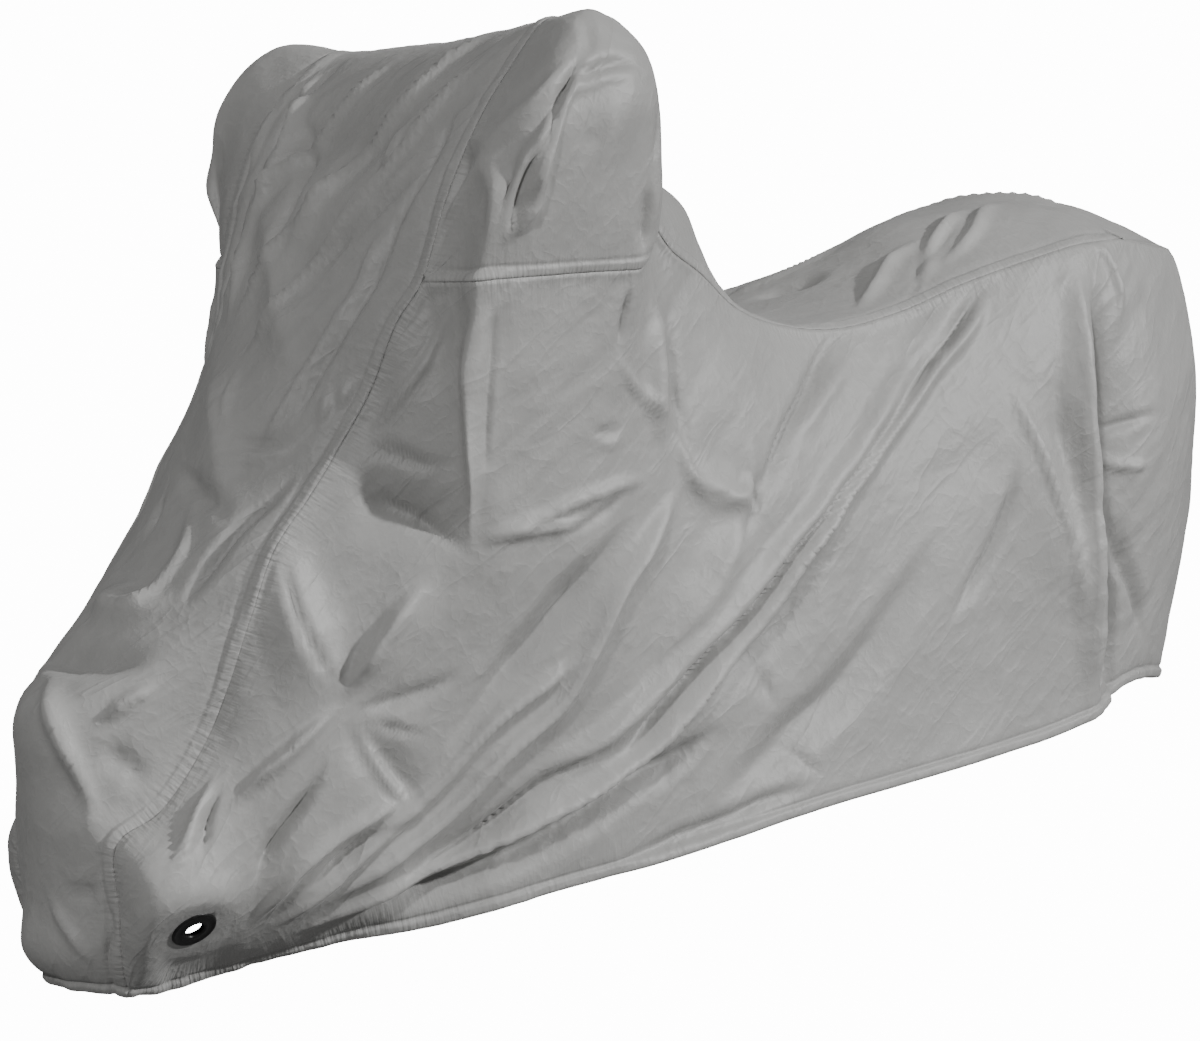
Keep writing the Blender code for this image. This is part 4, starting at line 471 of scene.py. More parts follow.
def sideGrid(centre, head, side):    # from the nose corner to the centre-back seam, and from the hem up
    at = rowsOf(stations)
    seam = centre[:, 0 if side < 0 else -1]
    tailRow = centre[-1] if side < 0 else centre[-1, ::-1]
    toMiddle = tailRow[1:len(tailRow) // 2 + 1]
    tailSteps = rowsOf(falls)["backSeam"] - (at["tail"] - at["waist"]) - rowsOf(falls)["waist"]
    places = np.linspace(0, len(toMiddle), tailSteps + 1)[1:]
    whole = np.vstack([tailRow[:1], toMiddle])
    toMiddle = np.stack([np.interp(places, range(len(whole)), whole[:, k]) for k in range(3)], axis=1)
    top = np.concatenate([seam[:at["collar"]], head[:, 0], seam[at["waist"] + 1:], toMiddle])
    rows = smoothRows([fall[2:] for fall in falls], fineCells(falls))
    hem = rows[:, :3] * (1, side, 1)
    hem[-1, 1] = 0
    share = rows[:, 6, None, None] if side > 0 else 1
    low, high = rows[:, 3, None, None] * share, rows[:, 4, None, None] * share
    heading = np.radians(rows[:, 5])
    out = np.stack([np.sin(heading), side * np.cos(heading), 0 * heading], axis=1)
    up = evenShares(clothSheet["rowsUp"], 1.2)[None, :, None]
    peak = 13.5 * up * (1 - up)
    belly = low * peak * (2 / 3 - up) + high * peak * (up - 1 / 3)
    grid = hem[:, None] + (top - hem)[:, None] * up + out[:, None] * belly
    grid[:, -1] = top
    grid[-1, :, 1] = 0
    for ease in creaseEases:
        away = np.abs(np.arange(len(grid)) - rowsOf(falls)[ease["row"]])[:, None, None]
        strength = 0.5 * smoothStep((ease["below"] - up) / ease["blend"]) * smoothStep(up / 0.15)
        strength = strength * smoothStep(1.5 * (1 - away / ease["columns"]))
        for _ in range(ease["passes"]):
            grid[1:-1] += ((grid[:-2] + grid[2:]) / 2 - grid[1:-1]) * strength[1:-1]
    return grid


def climb(grid):    # height above the ground, measured along the cloth from the panel's lower edge
    return grid[:, :1, 2] + reachAlong(grid, 1)


def centreMarks(grid):    # metres along the middle from the nose hem, and out from the middle
    middle = grid.shape[1] // 2
    along = reachAlong(grid[:, middle])
    out = reachAlong(grid, 1)
    out = out - out[:, middle, None]
    return np.stack([np.broadcast_to(along[:, None], out.shape), out], axis=2)


def sideMarks(grid):    # x, which follows the cloth round the front corner and the tail, and height up it
    at = rowsOf(falls)
    step = np.diff(grid, axis=0)
    extra = np.hypot(step[..., 0], step[..., 1]) - step[..., 0]
    extra[at["corner"]:at["crown"]] = 0
    along = np.concatenate([np.zeros((1, grid.shape[1])), np.cumsum(extra, axis=0)])
    return np.stack([grid[..., 0] + along - along[at["corner"]], climb(grid)], axis=2)


def headMarks(grid):    # x beside the cheek, which follows the cloth both ways, and height up the cloth
    step = np.diff(grid, axis=0)
    roundIt = np.cumsum(np.hypot(step[..., 0], step[..., 1]), axis=0)
    along = np.concatenate([np.zeros((1, grid.shape[1])), roundIt])
    cheek = rowsOf(stations)["ridge"] - rowsOf(stations)["collar"]
    return np.stack([along - along[cheek] + grid[cheek, :, 0], climb(grid)], axis=2)


def chanceAt(low, stepX, stepY, seed):    # a chance value from -1 to 1 for a corner of each unit square
    wave = np.sin((low[:, 0] + stepX) * 127.1 + (low[:, 1] + stepY) * 311.7 + seed * 74.7) * 43758.5453
    return 2 * (wave - np.floor(wave)) - 1


def noise(points, seed):    # smooth chance values from -1 to 1, with waves about one unit long
    low = np.floor(points)
    share = smoothStep(points - low)
    near, far = (
        chanceAt(low, 0, row, seed) * (1 - share[:, 0]) + chanceAt(low, 1, row, seed) * share[:, 0]
        for row in (0, 1)
    )
    return near * (1 - share[:, 1]) + far * share[:, 1]


def nearest(marks, line):    # how far each mark lies left of a line, and how far along it
    best = np.full(len(marks), np.inf)
    along = np.zeros(len(marks))
    passed = 0.0
    for start, end in zip(line[:-1], line[1:]):
        run = end - start
        length = np.hypot(*run)
        beyond = marks - start
        share = np.clip(beyond @ run / length**2, 0, 1)
        away = np.hypot(*(beyond - share[:, None] * run).T)
        nearer = away < np.abs(best)
        left = run[0] * beyond[:, 1] - run[1] * beyond[:, 0] > 0
        best[nearer] = np.where(left, away, -away)[nearer]
        along[nearer] = passed + share[nearer] * length
        passed += length
    return best, along, passed


def foldHeight(marks, folds):    # how far the folds lift each mark out of the smooth cloth
    height = np.zeros(len(marks))
    wander = np.stack([noise(marks / foldWander["size"], seed) for seed in foldWander["seeds"]], axis=1)
    marks = marks + wander * foldWander["reach"]
    rounding, narrow = foldShape["round"], foldShape["narrow"]
    for fold in folds:
        line = smoothRows(fold.route, [foldShape["stepsPerMark"]] * len(fold.route))
        reach = fold.width * (1 + abs(fold.lean))
        low, high = line.min(axis=0) - reach, line.max(axis=0) + reach
        close = np.flatnonzero(np.all((marks > low) & (marks < high), axis=1))
        away, along, length = nearest(marks[close], line)
        taper = min(foldShape["taper"] * fold.width, foldShape["taperShare"] * length)
        ends = smoothStep(along / taper) * smoothStep((length - along) / taper)
        foot = fold.width * np.where(away > 0, 1 + fold.lean, 1 - fold.lean)
        share = np.minimum(np.abs(away) / (foot * (narrow + (1 - narrow) * np.sqrt(ends))), 1)
        soft = (1 - share**2) ** 2
        edge = (1 - np.sqrt(share**2 + rounding) + math.sqrt(rounding)).clip(0, 1) ** 2
        crisp = min(fold.crisp + foldShape["crisper"], 1.0)
        height[close] += foldShape["scale"] * fold.height * ends * (soft * (1 - crisp) + edge * crisp)
    return height


def facets(points, seed):    # chance heights at the corners of a net of triangles, which are flat between
    drift = np.stack([noise(points * 0.7 + 9, seed + 1), noise(points * 0.7 + 9, seed + 2)], axis=1)
    points = (points + drift * 0.55) @ np.array([[1, 0], [-0.577, 1.155]])
    low = np.floor(points)
    share = points - low
    upper = share.sum(axis=1) > 1
    share[upper] = 1 - share[upper]
    own = np.where(upper, chanceAt(low, 1, 1, seed), chanceAt(low, 0, 0, seed))
    right, above = chanceAt(low, 1, 0, seed), chanceAt(low, 0, 1, seed)
    first, second = np.where(upper, above, right), np.where(upper, right, above)
    return own + (first - own) * share[:, 0] + (second - own) * share[:, 1]


def unevenHeight(marks, turn):    # waves between the folds, longer one way than the other
    turned = sweepPlace(marks, turn)
    height = np.zeros(len(marks))
    for wave in unevenness:
        found = (facets if wave["flat"] else noise)(turned / wave["size"], wave["seed"])
        height += found * wave["height"]
    patchSeed, driftSeed, ridgeSeed = pleats["seeds"]
    patch = smoothStep(0.5 + 0.8 * noise(turned / pleats["patch"], patchSeed))
    sideways = pleats["drift"] * noise(turned / pleats["driftSize"], driftSeed)
    drift = np.stack([np.zeros(len(turned)), sideways], axis=1)
    ridge = 1 - 2 * np.sqrt(noise(turned / pleats["size"] + drift, ridgeSeed) ** 2 + 0.004)
    return height + pleats["height"] * patch * ridge


def sweepPlace(marks, turn):    # marks turned so that the first one runs with a panel's sweeps
    angle = math.radians(turn)
    return marks @ np.array([[math.cos(angle), -math.sin(angle)], [math.sin(angle), math.cos(angle)]])


def gridNormals(grid, facing):
    normals = np.cross(np.gradient(grid, axis=0), np.gradient(grid, axis=1)) * facing
    return normals / np.maximum(np.linalg.norm(normals, axis=2, keepdims=True), 1e-9)


def banded(sheet, bothEnds):    # the same rows, set close together in the bands beside the sewn edges
    bandStops = np.arange(0, clothSheet["band"], clothSheet["bandStep"])
    near, far = bandStops, bandStops[::-1] if bothEnds else np.zeros(1)
    between = np.linspace(0, 1, sheet.shape[1] - len(near) - len(far) + 2)[1:-1]
    made = np.empty_like(sheet)
    for column, line, reach in zip(sheet, made, reachAlong(sheet, 1)):
        total = max(reach[-1], 1e-6)
        scale = min(1, 0.3 * total / clothSheet["band"])
        first, last = near * scale, total - far * scale
        stops = np.concatenate([first, first[-1] + (last[0] - first[-1]) * between, last])
        for k in range(sheet.shape[2]):
            line[:, k] = np.interp(stops, reach, column[:, k])
    made[:, 0], made[:, -1] = sheet[:, 0], sheet[:, -1]
    return made


def bandedStart(sheet):    # more columns beside the edge that the columns start from
    reach = reachAlong(sheet)
    kept = np.flatnonzero(reach.min(axis=1) > clothSheet["band"])[0]
    stops = np.arange(0, clothSheet["band"], clothSheet["bandStep"])
    columns, depth = range(sheet.shape[1]), range(sheet.shape[2])
    lines = [[np.interp(stops, reach[:, j], sheet[:, j, k]) for k in depth] for j in columns]
    return np.concatenate([np.array(lines).transpose(2, 0, 1), sheet[kept:]])


def edgeDistance(points, lines):    # distance of each point from some edges, and how far along them it is
    best = np.full(len(points), np.inf)
    along = np.zeros(len(points))
    passed = 0.0
    for line in lines:
        for start, end in zip(line[:-1:3], line[3::3]):
            run = end - start
            length = max(np.linalg.norm(run), 1e-6)
            share = np.clip((points - start) @ run / length**2, 0, 1)
            away = np.linalg.norm(points - start - share[:, None] * run, axis=1)
            nearer = away < best
            best[nearer] = away[nearer]
            along[nearer] = passed + share[nearer] * length
            passed += length
    return best, along


def insetLine(grid, gap):    # the line on a grid that runs a gap in from the start of its rows
    return np.array([[np.interp(gap, reach, row[:, k]) for k in range(6)]
                     for reach, row in zip(reachAlong(grid, 1), grid)])


def addObject(name, data):
    made = bpy.data.objects.new(name, data)
    bpy.context.scene.collection.objects.link(made)
    return made


def stitchesAlong(line):    # places and directions of the stitches on a line of points and normals
    reach = reachAlong(line)
    stops = np.arange(thread["pitch"], reach[-1] - thread["pitch"], thread["pitch"])
    found = np.array([np.interp(stops, reach, line[:, k]) for k in range(6)]).T
    ahead = np.array([np.interp(stops + 0.001, reach, line[:, k]) for k in range(3)]).T
    way = ahead - found[:, :3]
    way /= np.linalg.norm(way, axis=1, keepdims=True)
    return found[:, :3], way, found[:, 3:]


def stitchShape():    # corners and faces of one stitch: a tube of unit size along z, in three parts
    form = bmesh.new()
    bmesh.ops.create_cone(form, segments=5, radius1=1, radius2=1, depth=1)
    upright = [edge for edge in form.edges if abs(edge.verts[0].co.z - edge.verts[1].co.z) > 0.5]
    bmesh.ops.subdivide_edges(form, edges=upright, cuts=2)
    shape = np.array([vert.co for vert in form.verts])
    form.verts.index_update()
    faces = [[vert.index for vert in face.verts] for face in form.faces if abs(face.normal.z) < 0.5]
    form.free()
    return shape, np.array(faces)


def stitchMesh(name, lines, finish):    # every stitch of the cover, each a short thread sunk at both ends
    shape, faces = stitchShape()
    share = shape[:, 2:] * 2
    bow = 1 - share**2
    corners, quads, first = [], [], 0
    for line in lines:
        place, way, out = stitchesAlong(line)
        side = np.cross(way, out)
        lift = shape[None, :, 1:2] * thread["radius"] + (bow[None] - thread["sunk"]) * thread["rise"]
        body = (place[:, None] + way[:, None] * share[None] * thread["length"] / 2 + out[:, None] * lift
                + side[:, None] * shape[None, :, :1] * thread["radius"] * thread["flatness"])
        corners.append(body.reshape(-1, 3))
        starts = first + np.arange(len(place)) * len(shape)
        quads.append((starts[:, None, None] + faces[None]).reshape(-1, 4))
        first += len(corners[-1])
    mesh = bpy.data.meshes.new(name)
    points = np.concatenate(corners) + np.array(groundPoint)
    mesh.from_pydata(points.tolist(), [], np.concatenate(quads).tolist())
    mesh.shade_smooth()
    mesh.materials.append(finish)
    piece = addObject(name, mesh)
    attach(piece, "root")
    print(name, "faces", len(mesh.polygons))


def eyeletPlace(node):    # the middle of an eyelet, and the way that it faces
    points = np.array([vert.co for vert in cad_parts[node].data.vertices]) - np.array(groundPoint)
    middle = (points.min(axis=0) + points.max(axis=0)) / 2
    away = points - middle
    facing = np.linalg.eigh(away.T @ away)[1][:, 0]
    facing *= np.sign(facing[1] * middle[1])
    out = away @ facing
    return middle + facing * (out.max() + out.min()) / 2, facing, out.max() - out.min()


def levelled(points, eyelet):    # the cloth drawn flat round an eyelet
    middle, facing, depth = eyelet
    seat = middle + facing * (depth / 2 - eyeletRing["proud"])
    reach = np.linalg.norm(points - seat, axis=-1)
    level = smoothStep((eyeletRing["reach"] - reach) / (eyeletRing["reach"] - eyeletRing["flat"]))
    lift = ((points - seat) @ facing) * level
    return points - facing * lift[..., None], reach


def bandHeight(gap, band):    # the raised band beside a sewn edge, and the groove along its inner side
    inner = (gap - band["width"] - grooveShape["gap"]) / grooveShape["width"]
    raised = 1 - (2 * gap / band["width"] - 1).clip(-1, 1) ** 4
    return band["rise"] * raised - band["groove"] * np.exp(-(inner**2))


def hemPull(x):    # how hard the elastic draws the hem in: most at the nose and the tail
    nose = smoothStep((gathers["noseEnd"] - x) / gathers["noseEase"])
    tail = smoothStep((x - gathers["tailStart"]) / gathers["tailEase"])
    return gathers["least"] + (1 - gathers["least"]) * np.maximum(nose, tail)


def clothMesh(name, points, fields, maps, opened, turnOver):    # a grid of points, with its values and maps
    cols, rows = points.shape[:2]
    form = bmesh.new()
    mapLayers = {word: form.loops.layers.uv.new(word) for word in maps}
    layers = {word: form.verts.layers.float.new(word) for word in fields}
    bmesh.ops.create_grid(form, x_segments=cols - 1, y_segments=rows - 1, size=0.5)
    for vert in form.verts:
        i, j = round((vert.co.x + 0.5) * (cols - 1)), round((vert.co.y + 0.5) * (rows - 1))
        vert.index = i * rows + j
    for face in form.faces:
        for loop in face.loops:
            for word, places in maps.items():
                loop[mapLayers[word]].uv = places[loop.vert.index]
    cut = [face for face in form.faces if any(opened[vert.index] for vert in face.verts)]
    flatPoints = points.reshape(-1, 3) + np.array(groundPoint)
    for vert in form.verts:
        vert.co = flatPoints[vert.index]
        for word, values in fields.items():
            vert[layers[word]] = values[vert.index]
    bmesh.ops.delete(form, geom=cut, context="FACES")
    bmesh.ops.remove_doubles(form, verts=form.verts, dist=1e-5)
    if turnOver:
        bmesh.ops.reverse_faces(form, faces=form.faces)
    mesh = bpy.data.meshes.new(name)
    form.to_mesh(mesh)
    form.free()
    mesh.shade_smooth()
    return mesh


def clothPiece(name, sheet, folds, sewn, facing, finish, hem=None, laps=(), eyelet=None):
    grid, marks = sheet[..., :3], sheet[..., 3:]
    flatGrid = grid.reshape(-1, 3)
    flatMarks = marks.reshape(-1, 2)
    seamGap, seamAlong = edgeDistance(flatGrid, sewn)
    hemGap, hemAlong = edgeDistance(flatGrid, [hem]) if hem is not None else (seamGap + 9, seamAlong)
    turn = sweepTurn[name.split("_")[0]]
    height = foldHeight(flatMarks, folds) + unevenHeight(flatMarks, turn)
    height *= smoothStep(seamGap / seamEase)
    for lap in laps:
        height += bandHeight(edgeDistance(flatGrid, [lap["edge"]])[0], lap)
    pull = hemPull(flatGrid[:, 0])
    places = np.stack([hemAlong / gathers["pitch"], hemGap / gathers["depth"] + 40], axis=1)
    ripple = noise(places, gathers["seed"]) * np.exp(-hemGap / gathers["reach"])
    onBand = gathers["onBand"] + (1 - gathers["onBand"]) * smoothStep(hemGap / hemBand["width"])
    height += gathers["height"] * pull * ripple * onBand + bandHeight(hemGap, hemBand)
    points = grid + gridNormals(grid, facing) * height.reshape(grid.shape[:2])[..., None]
    reach = np.full(grid.shape[:2], np.inf)
    if eyelet:
        points, reach = levelled(points, eyelet)
    fields = {"seamGap": seamGap, "seamAlong": seamAlong, "hemGap": hemGap, "hemAlong": hemAlong,
              "crest": height, "pull": pull}
    maps = {"flat": flatMarks, "sweep": sweepPlace(flatMarks, turn)}
    mesh = clothMesh(name, points, fields, maps, reach.ravel() < eyeletRing["hole"], facing > 0)
    mesh.materials.append(finish)
    piece = addObject(name, mesh)
    wall = piece.modifiers.new("thickness", "SOLIDIFY")
    wall.thickness = clothSheet["thickness"]
    wall.offset = -1
    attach(piece, "root")
    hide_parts(name.removesuffix("_cloth"))
    step = np.diff(grid, axis=0)[:, :-1], np.diff(grid, axis=1)[:-1]
    area = float(np.linalg.norm(np.cross(*step), axis=2).sum())
    width, length = sorted(float(side) for side in np.ptp(flatMarks, axis=0))
    sizes = [round(size, 2) for size in (width, length, area)]
    print(name, "faces", len(mesh.polygons), "flat width, length and area", *sizes)
    return np.concatenate([points, gridNormals(points, facing)], axis=2)


def eyeletPiece(node, eyelet, finish):    # a turned ring with rounded lips, in place of the plain one
    middle, facing, depth = eyelet
    half = depth / 2
    bore, neck, outer, back = (eyeletRing[word] for word in ("bore", "neck", "outer", "back"))
    profile = [
        (bore, -half + 0.0012), (bore, half - 0.0030), (bore + 0.0008, half - 0.0010),
        (bore + 0.0022, half), (bore + 0.0046, half), (bore + 0.0058, half - 0.0007),
        (bore + 0.0070, half - 0.0012), (outer - 0.0050, half - 0.0012), (outer - 0.0036, half - 0.0004),
        (outer - 0.0018, half - 0.0008), (outer - 0.0004, half - 0.0026), (outer, half - 0.0040),
        (neck, half - 0.0040), (neck, half - 0.0068), (back, half - 0.0068),
        (back, -half + 0.0010), (back - 0.0012, -half), (bore + 0.0012, -half),
    ]
    form = bmesh.new()
    corners = [form.verts.new((radius, 0, height)) for radius, height in profile]
    loop = [form.edges.new((a, b)) for a, b in zip(corners, corners[1:] + corners[:1])]
    turn = {"axis": (0, 0, 1), "cent": (0, 0, 0), "angle": 2 * math.pi, "steps": 96, "use_merge": True}
    bmesh.ops.spin(form, geom=loop, **turn)
    bmesh.ops.remove_doubles(form, verts=form.verts, dist=1e-6)
    turned = Vector(facing).to_track_quat("Z", "Y").to_matrix().to_4x4()
    place = Matrix.Translation(Vector(middle) + groundPoint) @ turned
    bmesh.ops.transform(form, matrix=place, verts=form.verts)
    bmesh.ops.recalc_face_normals(form, faces=form.faces)
    mesh = bpy.data.meshes.new(f"{node}_ring")
    form.to_mesh(mesh)
    form.free()
    mesh.shade_smooth()
    mesh.set_sharp_from_angle(angle=math.radians(50))
    mesh.materials.append(finish)
    piece = addObject(f"{node}_ring", mesh)
    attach(piece, "root")
    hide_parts(node)


def addNode(tree, kind, inputs=(), **settings):    # a node with its settings, values and links
    made = tree.nodes.new(kind)
    for word, value in settings.items():
        setattr(made, word, value)
    for socket, value in dict(inputs).items():
        if isinstance(value, bpy.types.NodeSocket):
            tree.links.new(value, made.inputs[socket])
        else:
            made.inputs[socket].default_value = value
    return made


def compute(tree, operation, *values):
    return addNode(tree, "ShaderNodeMath", enumerate(values), operation=operation).outputs[0]


def newGroup(name, takes):    # a group that takes some values and gives one height
    group = bpy.data.node_groups.new(name, "ShaderNodeTree")
    for word, kind in takes.items():
        group.interface.new_socket(word, in_out="INPUT", socket_type=kind)
    group.interface.new_socket("Height", in_out="OUTPUT", socket_type="NodeSocketFloat")
    given, result = group.nodes.new("NodeGroupInput"), group.nodes.new("NodeGroupOutput")
    return group, given.outputs, result.inputs["Height"]


def weaveGroup():    # pillows of a plain weave, as high as each thread stands between its crossings
    group, given, height = newGroup("weave", {"Vector": "NodeSocketVector", "Pitch": "NodeSocketFloat"})
    parts = addNode(group, "ShaderNodeSeparateXYZ", {0: given["Vector"]}).outputs
    waves = []
    for part in (parts["X"], parts["Y"]):
        turns = compute(group, "DIVIDE", part, given["Pitch"])
        waves.append(compute(group, "SINE", compute(group, "MULTIPLY", turns, math.pi)))
    group.links.new(compute(group, "ABSOLUTE", compute(group, "MULTIPLY", *waves)), height)
    return group


def crinkleGroup():    # sharp little creases of cloth that was folded small
    takes = {"Vector": "NodeSocketVector", "Scale": "NodeSocketFloat", "Bend": "NodeSocketFloat"}
    group, given, height = newGroup("crinkle", takes)
    drift = addNode(group, "ShaderNodeTexNoise", {"Vector": given["Vector"], "Scale": 9.0, "Detail": 1.0})
    bend = {0: drift.outputs["Color"], "Scale": given["Bend"]}
    moved = addNode(group, "ShaderNodeVectorMath", bend, operation="SCALE").outputs[0]
    both = {0: given["Vector"], 1: moved}
    place = addNode(group, "ShaderNodeVectorMath", both, operation="ADD").outputs[0]
    grain = {"Vector": place, "Scale": given["Scale"], "Detail": 2.5, "Roughness": 0.55}
    wave = addNode(group, "ShaderNodeTexNoise", grain).outputs["Fac"]
    middle = compute(group, "ABSOLUTE", compute(group, "SUBTRACT", wave, 0.5))
    crest = compute(group, "SUBTRACT", 1.0, compute(group, "MULTIPLY", middle, 2.0))
    group.links.new(compute(group, "POWER", crest, 5.0), height)
    return group


def puckerGroup():    # small gathers square to a seam, fading away from it
    takes = dict.fromkeys(("Along", "Gap", "Pitch", "Reach"), "NodeSocketFloat")
    group, given, height = newGroup("pucker", takes)
    across = compute(group, "DIVIDE", given["Along"], given["Pitch"])
    outward = compute(group, "DIVIDE", given["Gap"], given["Reach"])
    stretched = compute(group, "MULTIPLY", outward, 0.6)
    place = addNode(group, "ShaderNodeCombineXYZ", {"X": across, "Y": stretched}).outputs[0]
    wave = grained(group, place, 1.0, 1.5)
    fade = compute(group, "EXPONENT", compute(group, "MULTIPLY", outward, -1.0))
    group.links.new(compute(group, "MULTIPLY", wave, fade), height)
    return group


def newMaterial(name, **values):
    made = bpy.data.materials.new(name)
    made.use_nodes = True
    shader = made.node_tree.nodes["Principled BSDF"]
    for word, value in values.items():
        shader.inputs[word.replace("_", " ")].default_value = value
    return made, made.node_tree, shader


def placed(tree, word, **inputs):
    return addNode(tree, "ShaderNodeGroup", inputs, node_tree=nodeGroups[word]).outputs[0]


def grained(tree, place, scale, detail):
    grain = {"Vector": place, "Scale": scale, "Detail": detail}
    return addNode(tree, "ShaderNodeTexNoise", grain).outputs["Fac"]


def attribute(tree, word):
    return addNode(tree, "ShaderNodeAttribute", attribute_name=word).outputs["Fac"]


def spread(tree, value, low, high, toLow, toHigh):
    inputs = {"Value": value, "From Min": low, "From Max": high, "To Min": toLow, "To Max": toHigh}
    return addNode(tree, "ShaderNodeMapRange", inputs).outputs["Result"]


def addBump(tree, shader, height, distance=1.0):
    takes = {"Height": height, "Strength": 1.0, "Distance": distance}
    tree.links.new(addNode(tree, "ShaderNodeBump", takes).outputs[0], shader.inputs["Normal"])


def addGrey(tree, shader, tone):
    colour = addNode(tree, "ShaderNodeCombineColor", {0: tone, 1: tone, 2: tone}).outputs[0]
    tree.links.new(colour, shader.inputs["Base Color"])


def clothFinish():    # silver-grey coated polyester: a fine weave, packed creases, gathers at the seams
    sheen = {"Sheen_Weight": 0.10, "Sheen_Roughness": 0.4}
    made, tree, shader = newMaterial("coated cloth", Specular_IOR_Level=0.42, **sheen)
    flat, sweep = (addNode(tree, "ShaderNodeUVMap", uv_map=word).outputs["UV"] for word in ("flat", "sweep"))
    place = addNode(tree, "ShaderNodeTexCoord").outputs["Object"]
    crest, seamGap, hemGap = (attribute(tree, word) for word in ("crest", "seamGap", "hemGap"))
    stretch = {0: sweep, 1: (1.0, 3.5, 1.0)}
    drawn = addNode(tree, "ShaderNodeVectorMath", stretch, operation="MULTIPLY").outputs[0]
    coarse, fine = (placed(tree, "crinkle", Vector=place, **crinkles[word]) for word in ("coarse", "fine"))
    weave = placed(tree, "weave", Vector=flat, Pitch=clothLook["weavePitch"])
    seam = placed(tree, "pucker", Along=attribute(tree, "seamAlong"), Gap=seamGap, **puckers["seam"])
    hem = placed(tree, "pucker", Along=attribute(tree, "hemAlong"), Gap=hemGap, **puckers["hem"])
    pleat = placed(tree, "crinkle", Vector=drawn, **crinkles["pleat"])
    hem = compute(tree, "MULTIPLY", hem, attribute(tree, "pull"))
    found = {"pleat": pleat, "fine": fine, "weave": weave, "seamPucker": seam, "hemPucker": hem}
    height = compute(tree, "MULTIPLY", coarse, clothLook["coarse"])
    for word, size in reliefs.items():
        height = compute(tree, "MULTIPLY_ADD", found[word], size, height)
    addBump(tree, shader, height)

    blotch = grained(tree, place, 4.0, 4.0)
    tone = spread(tree, blotch, *mainGrain, 0.955, 1.045)
    for value, *limits in (
        (grained(tree, place, 260.0, 2.0), *mainGrain, 0.985, 1.015),
        # painted shade in the fold valleys and painted highlight on the fold crests: the colour follows the
        # fold height
        (crest, -0.018, 0.018, 0.90, 1.08),
        (coarse, 0.5, 1.0, 0.99, 1.03),
        (hemGap, 0.0, 0.05, 0.95, 1.0),
    ):
        tone = compute(tree, "MULTIPLY", tone, spread(tree, value, *limits))
    tint = {0: clothLook["colour"], "Scale": tone}
    colour = addNode(tree, "ShaderNodeVectorMath", tint, operation="SCALE").outputs[0]
    tree.links.new(colour, shader.inputs["Base Color"])
    rough = compute(tree, "MULTIPLY_ADD", weave, 0.05, spread(tree, blotch, *mainGrain, 0.44, 0.52))
    tree.links.new(rough, shader.inputs["Roughness"])
    return made


def threadFinish():    # pale grey sewing thread with a twist
    made, tree, shader = newMaterial("sewing thread", Roughness=0.6)
    twist = grained(tree, addNode(tree, "ShaderNodeTexCoord").outputs["Object"], 900.0, 2.0)
    addGrey(tree, shader, spread(tree, twist, *mainGrain, 0.40, 0.52))
    addBump(tree, shader, twist, 0.0002)
    return made


def plasticFinish():    # black moulded plastic, a little dusty, with fine scuffs
    made, tree, shader = newMaterial("eyelet plastic", Specular_IOR_Level=0.3)
    place = addNode(tree, "ShaderNodeTexCoord").outputs["Object"]
    dust = grained(tree, place, 70.0, 5.0)
    scuff = placed(tree, "crinkle", Vector=place, **crinkles["scuff"])
    tone = spread(tree, dust, 0.4, 0.75, 0.004, 0.010)
    addGrey(tree, shader, compute(tree, "MULTIPLY_ADD", scuff, 0.003, tone))
    tree.links.new(spread(tree, dust, 0.35, 0.7, 0.30, 0.50), shader.inputs["Roughness"])
    addBump(tree, shader, scuff, 0.00006)
    return made


def buildCover():
    finish = clothFinish()
    plastic = plasticFinish()
    centre = centreGrid()
    leftHead, rightHead = headGrid(centre, leftRibs, -1), headGrid(centre, rightRibs, 1)
    left, right = sideGrid(centre, leftHead, -1), sideGrid(centre, rightHead, 1)
    edges = {-1: centre[:, 0], 1: centre[:, -1]}
    laps = [{"edge": edge, **seamLap} for edge in edges.values()]
    sheet = bandedStart(banded(np.dstack([centre, centreMarks(centre)]), True))
    skin = clothPiece("centre_panel_cloth", sheet, centreFolds, [*edges.values(), centre[-1]],
                      1, finish, hem=centre[0], laps=laps)
    sewn = [insetLine(grid, gap) for gap in seamLap["stitches"] for grid in (skin, skin[:, ::-1])]
    sewn += [insetLine(skin.transpose(1, 0, 2), gap) for gap in hemBand["stitches"]]
    for side, head, panel, headFolds, folds, word in (
        (-1, leftHead, left, leftHeadFolds, leftFolds, "left"),
        (1, rightHead, right, rightHeadFolds, rightFolds, "right"),
    ):
        laps = [{"edge": head[:, 0], **cheekLap}]
        sheet = banded(np.dstack([head, headMarks(head)]), False)
        skin = clothPiece(f"head_panel_{word}_cloth", sheet, headFolds, [head[:, 0], head[:, -1]],
                          -side, finish, laps=laps)
        sewn += [insetLine(skin, gap) for gap in cheekLap["stitches"]]
        eyelet = eyeletPlace(f"eyelet_{word}")
        sheet = banded(np.dstack([panel, sideMarks(panel)]), False)
        skin = clothPiece(f"side_panel_{word}_cloth", sheet, folds, [panel[:, -1], panel[-1]],
                          -side, finish, hem=panel[:, 0], eyelet=eyelet)
        sewn += [insetLine(skin, gap) for gap in hemBand["stitches"]]
        sewn += [insetLine(skin[::-1].transpose(1, 0, 2), gap) for gap in backSeamStitches]
        eyeletPiece(f"eyelet_{word}", eyelet, plastic)
    stitchMesh("stitches", sewn, threadFinish())


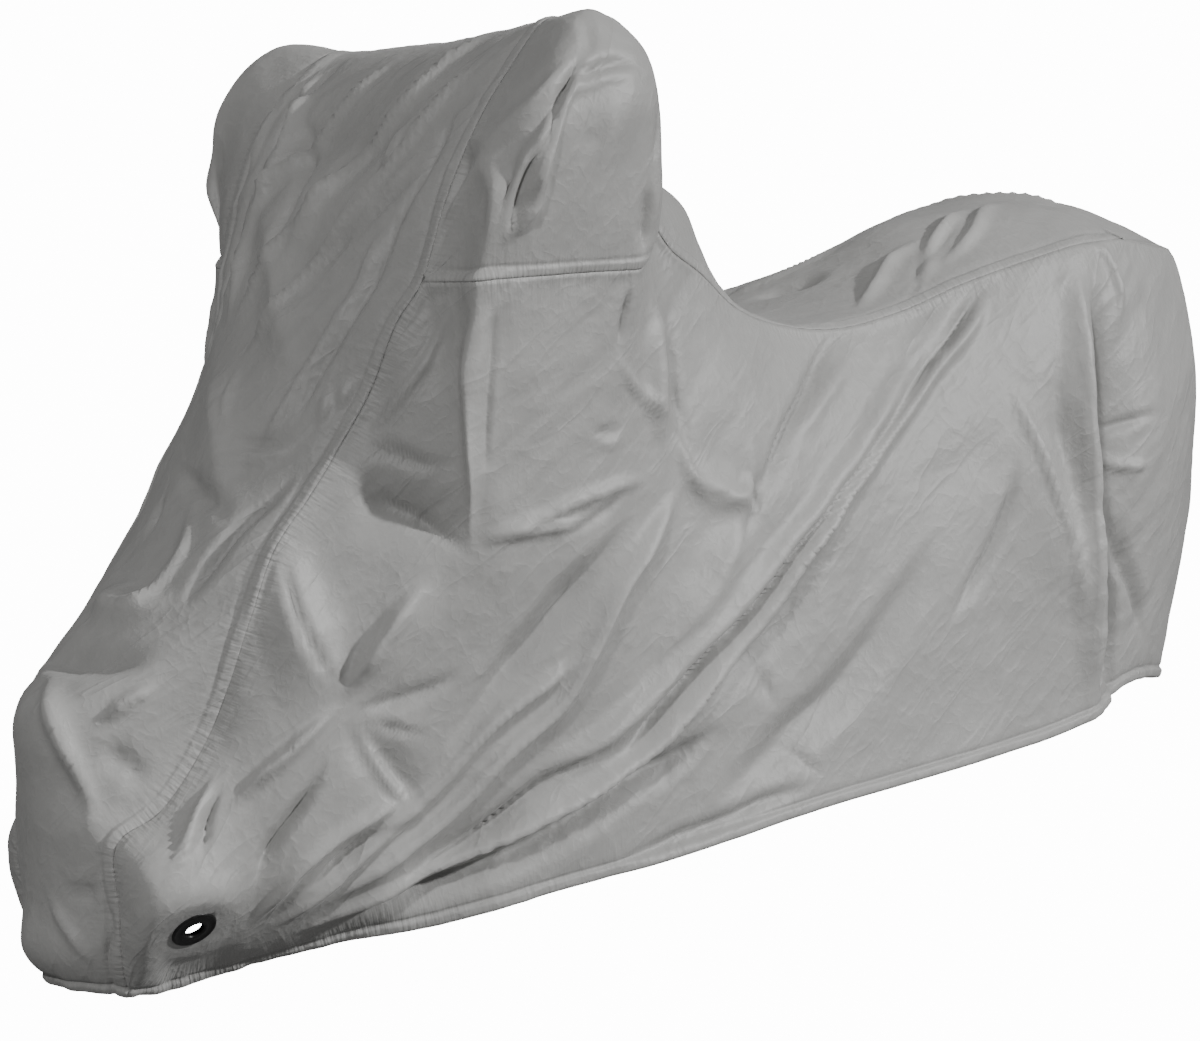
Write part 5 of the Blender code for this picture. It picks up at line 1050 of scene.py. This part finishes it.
def buildCamera():
    data = bpy.data.cameras.new("camera")
    data.lens, data.sensor_width = camera["lens"], camera["sensor"]
    holder = addObject("camera", data)
    holder.location = Vector(camera["place"]) + groundPoint
    holder.rotation_euler = Euler((math.radians(90 - camera["dip"]), 0, math.radians(camera["heading"])))
    bpy.context.scene.camera = holder


def buildFloor():    # white where the camera sees it, and a pale grey that throws soft light up at the cover
    form = bmesh.new()
    bmesh.ops.create_circle(form, cap_ends=True, radius=stage["radius"], segments=stage["segments"])
    mesh = bpy.data.meshes.new("floor")
    form.to_mesh(mesh)
    form.free()
    floor = addObject("floor", mesh)
    floor.location = groundPoint
    paint, tree, shader = newMaterial("floor", Roughness=stage["roughness"])
    shader.inputs["Base Color"].default_value = (*[stage["grey"]] * 3, 1)
    shader.inputs["Emission Color"].default_value = (1, 1, 1, 1)
    seen = addNode(tree, "ShaderNodeLightPath").outputs["Is Camera Ray"]
    tree.links.new(compute(tree, "MULTIPLY", seen, stage["glow"]), shader.inputs["Emission Strength"])
    mesh.materials.append(paint)


def buildLight():    # a soft sky, white to the camera, and the lamps
    world = bpy.data.worlds.new("studio")
    world.use_nodes = True
    tree = world.node_tree
    ray = addNode(tree, "ShaderNodeTexCoord").outputs["Generated"]
    up = addNode(tree, "ShaderNodeSeparateXYZ", {0: ray}).outputs["Z"]
    seen = addNode(tree, "ShaderNodeLightPath").outputs["Is Camera Ray"]
    glow = spread(tree, up, 0.0, 1.0, sky["low"], sky["high"])
    glow = compute(tree, "MULTIPLY_ADD", seen, stage["glow"], glow)
    shade = tree.nodes["Background"]
    shade.inputs["Color"].default_value = (1, 1, 1, 1)
    tree.links.new(glow, shade.inputs["Strength"])
    bpy.context.scene.world = world
    for sun in suns:
        light = bpy.data.lights.new("sun", "SUN")
        light.energy, light.angle = sun["strength"], math.radians(sun["spread"])
        addObject("sun", light).rotation_euler = Vector(sun["toward"]).to_track_quat("-Z", "Y").to_euler()


buildCamera()
print("camera set")
buildFloor()
buildLight()
print("stage and lights set")
nodeGroups = {"weave": weaveGroup(), "crinkle": crinkleGroup(), "pucker": puckerGroup()}
buildCover()
print("cover built")
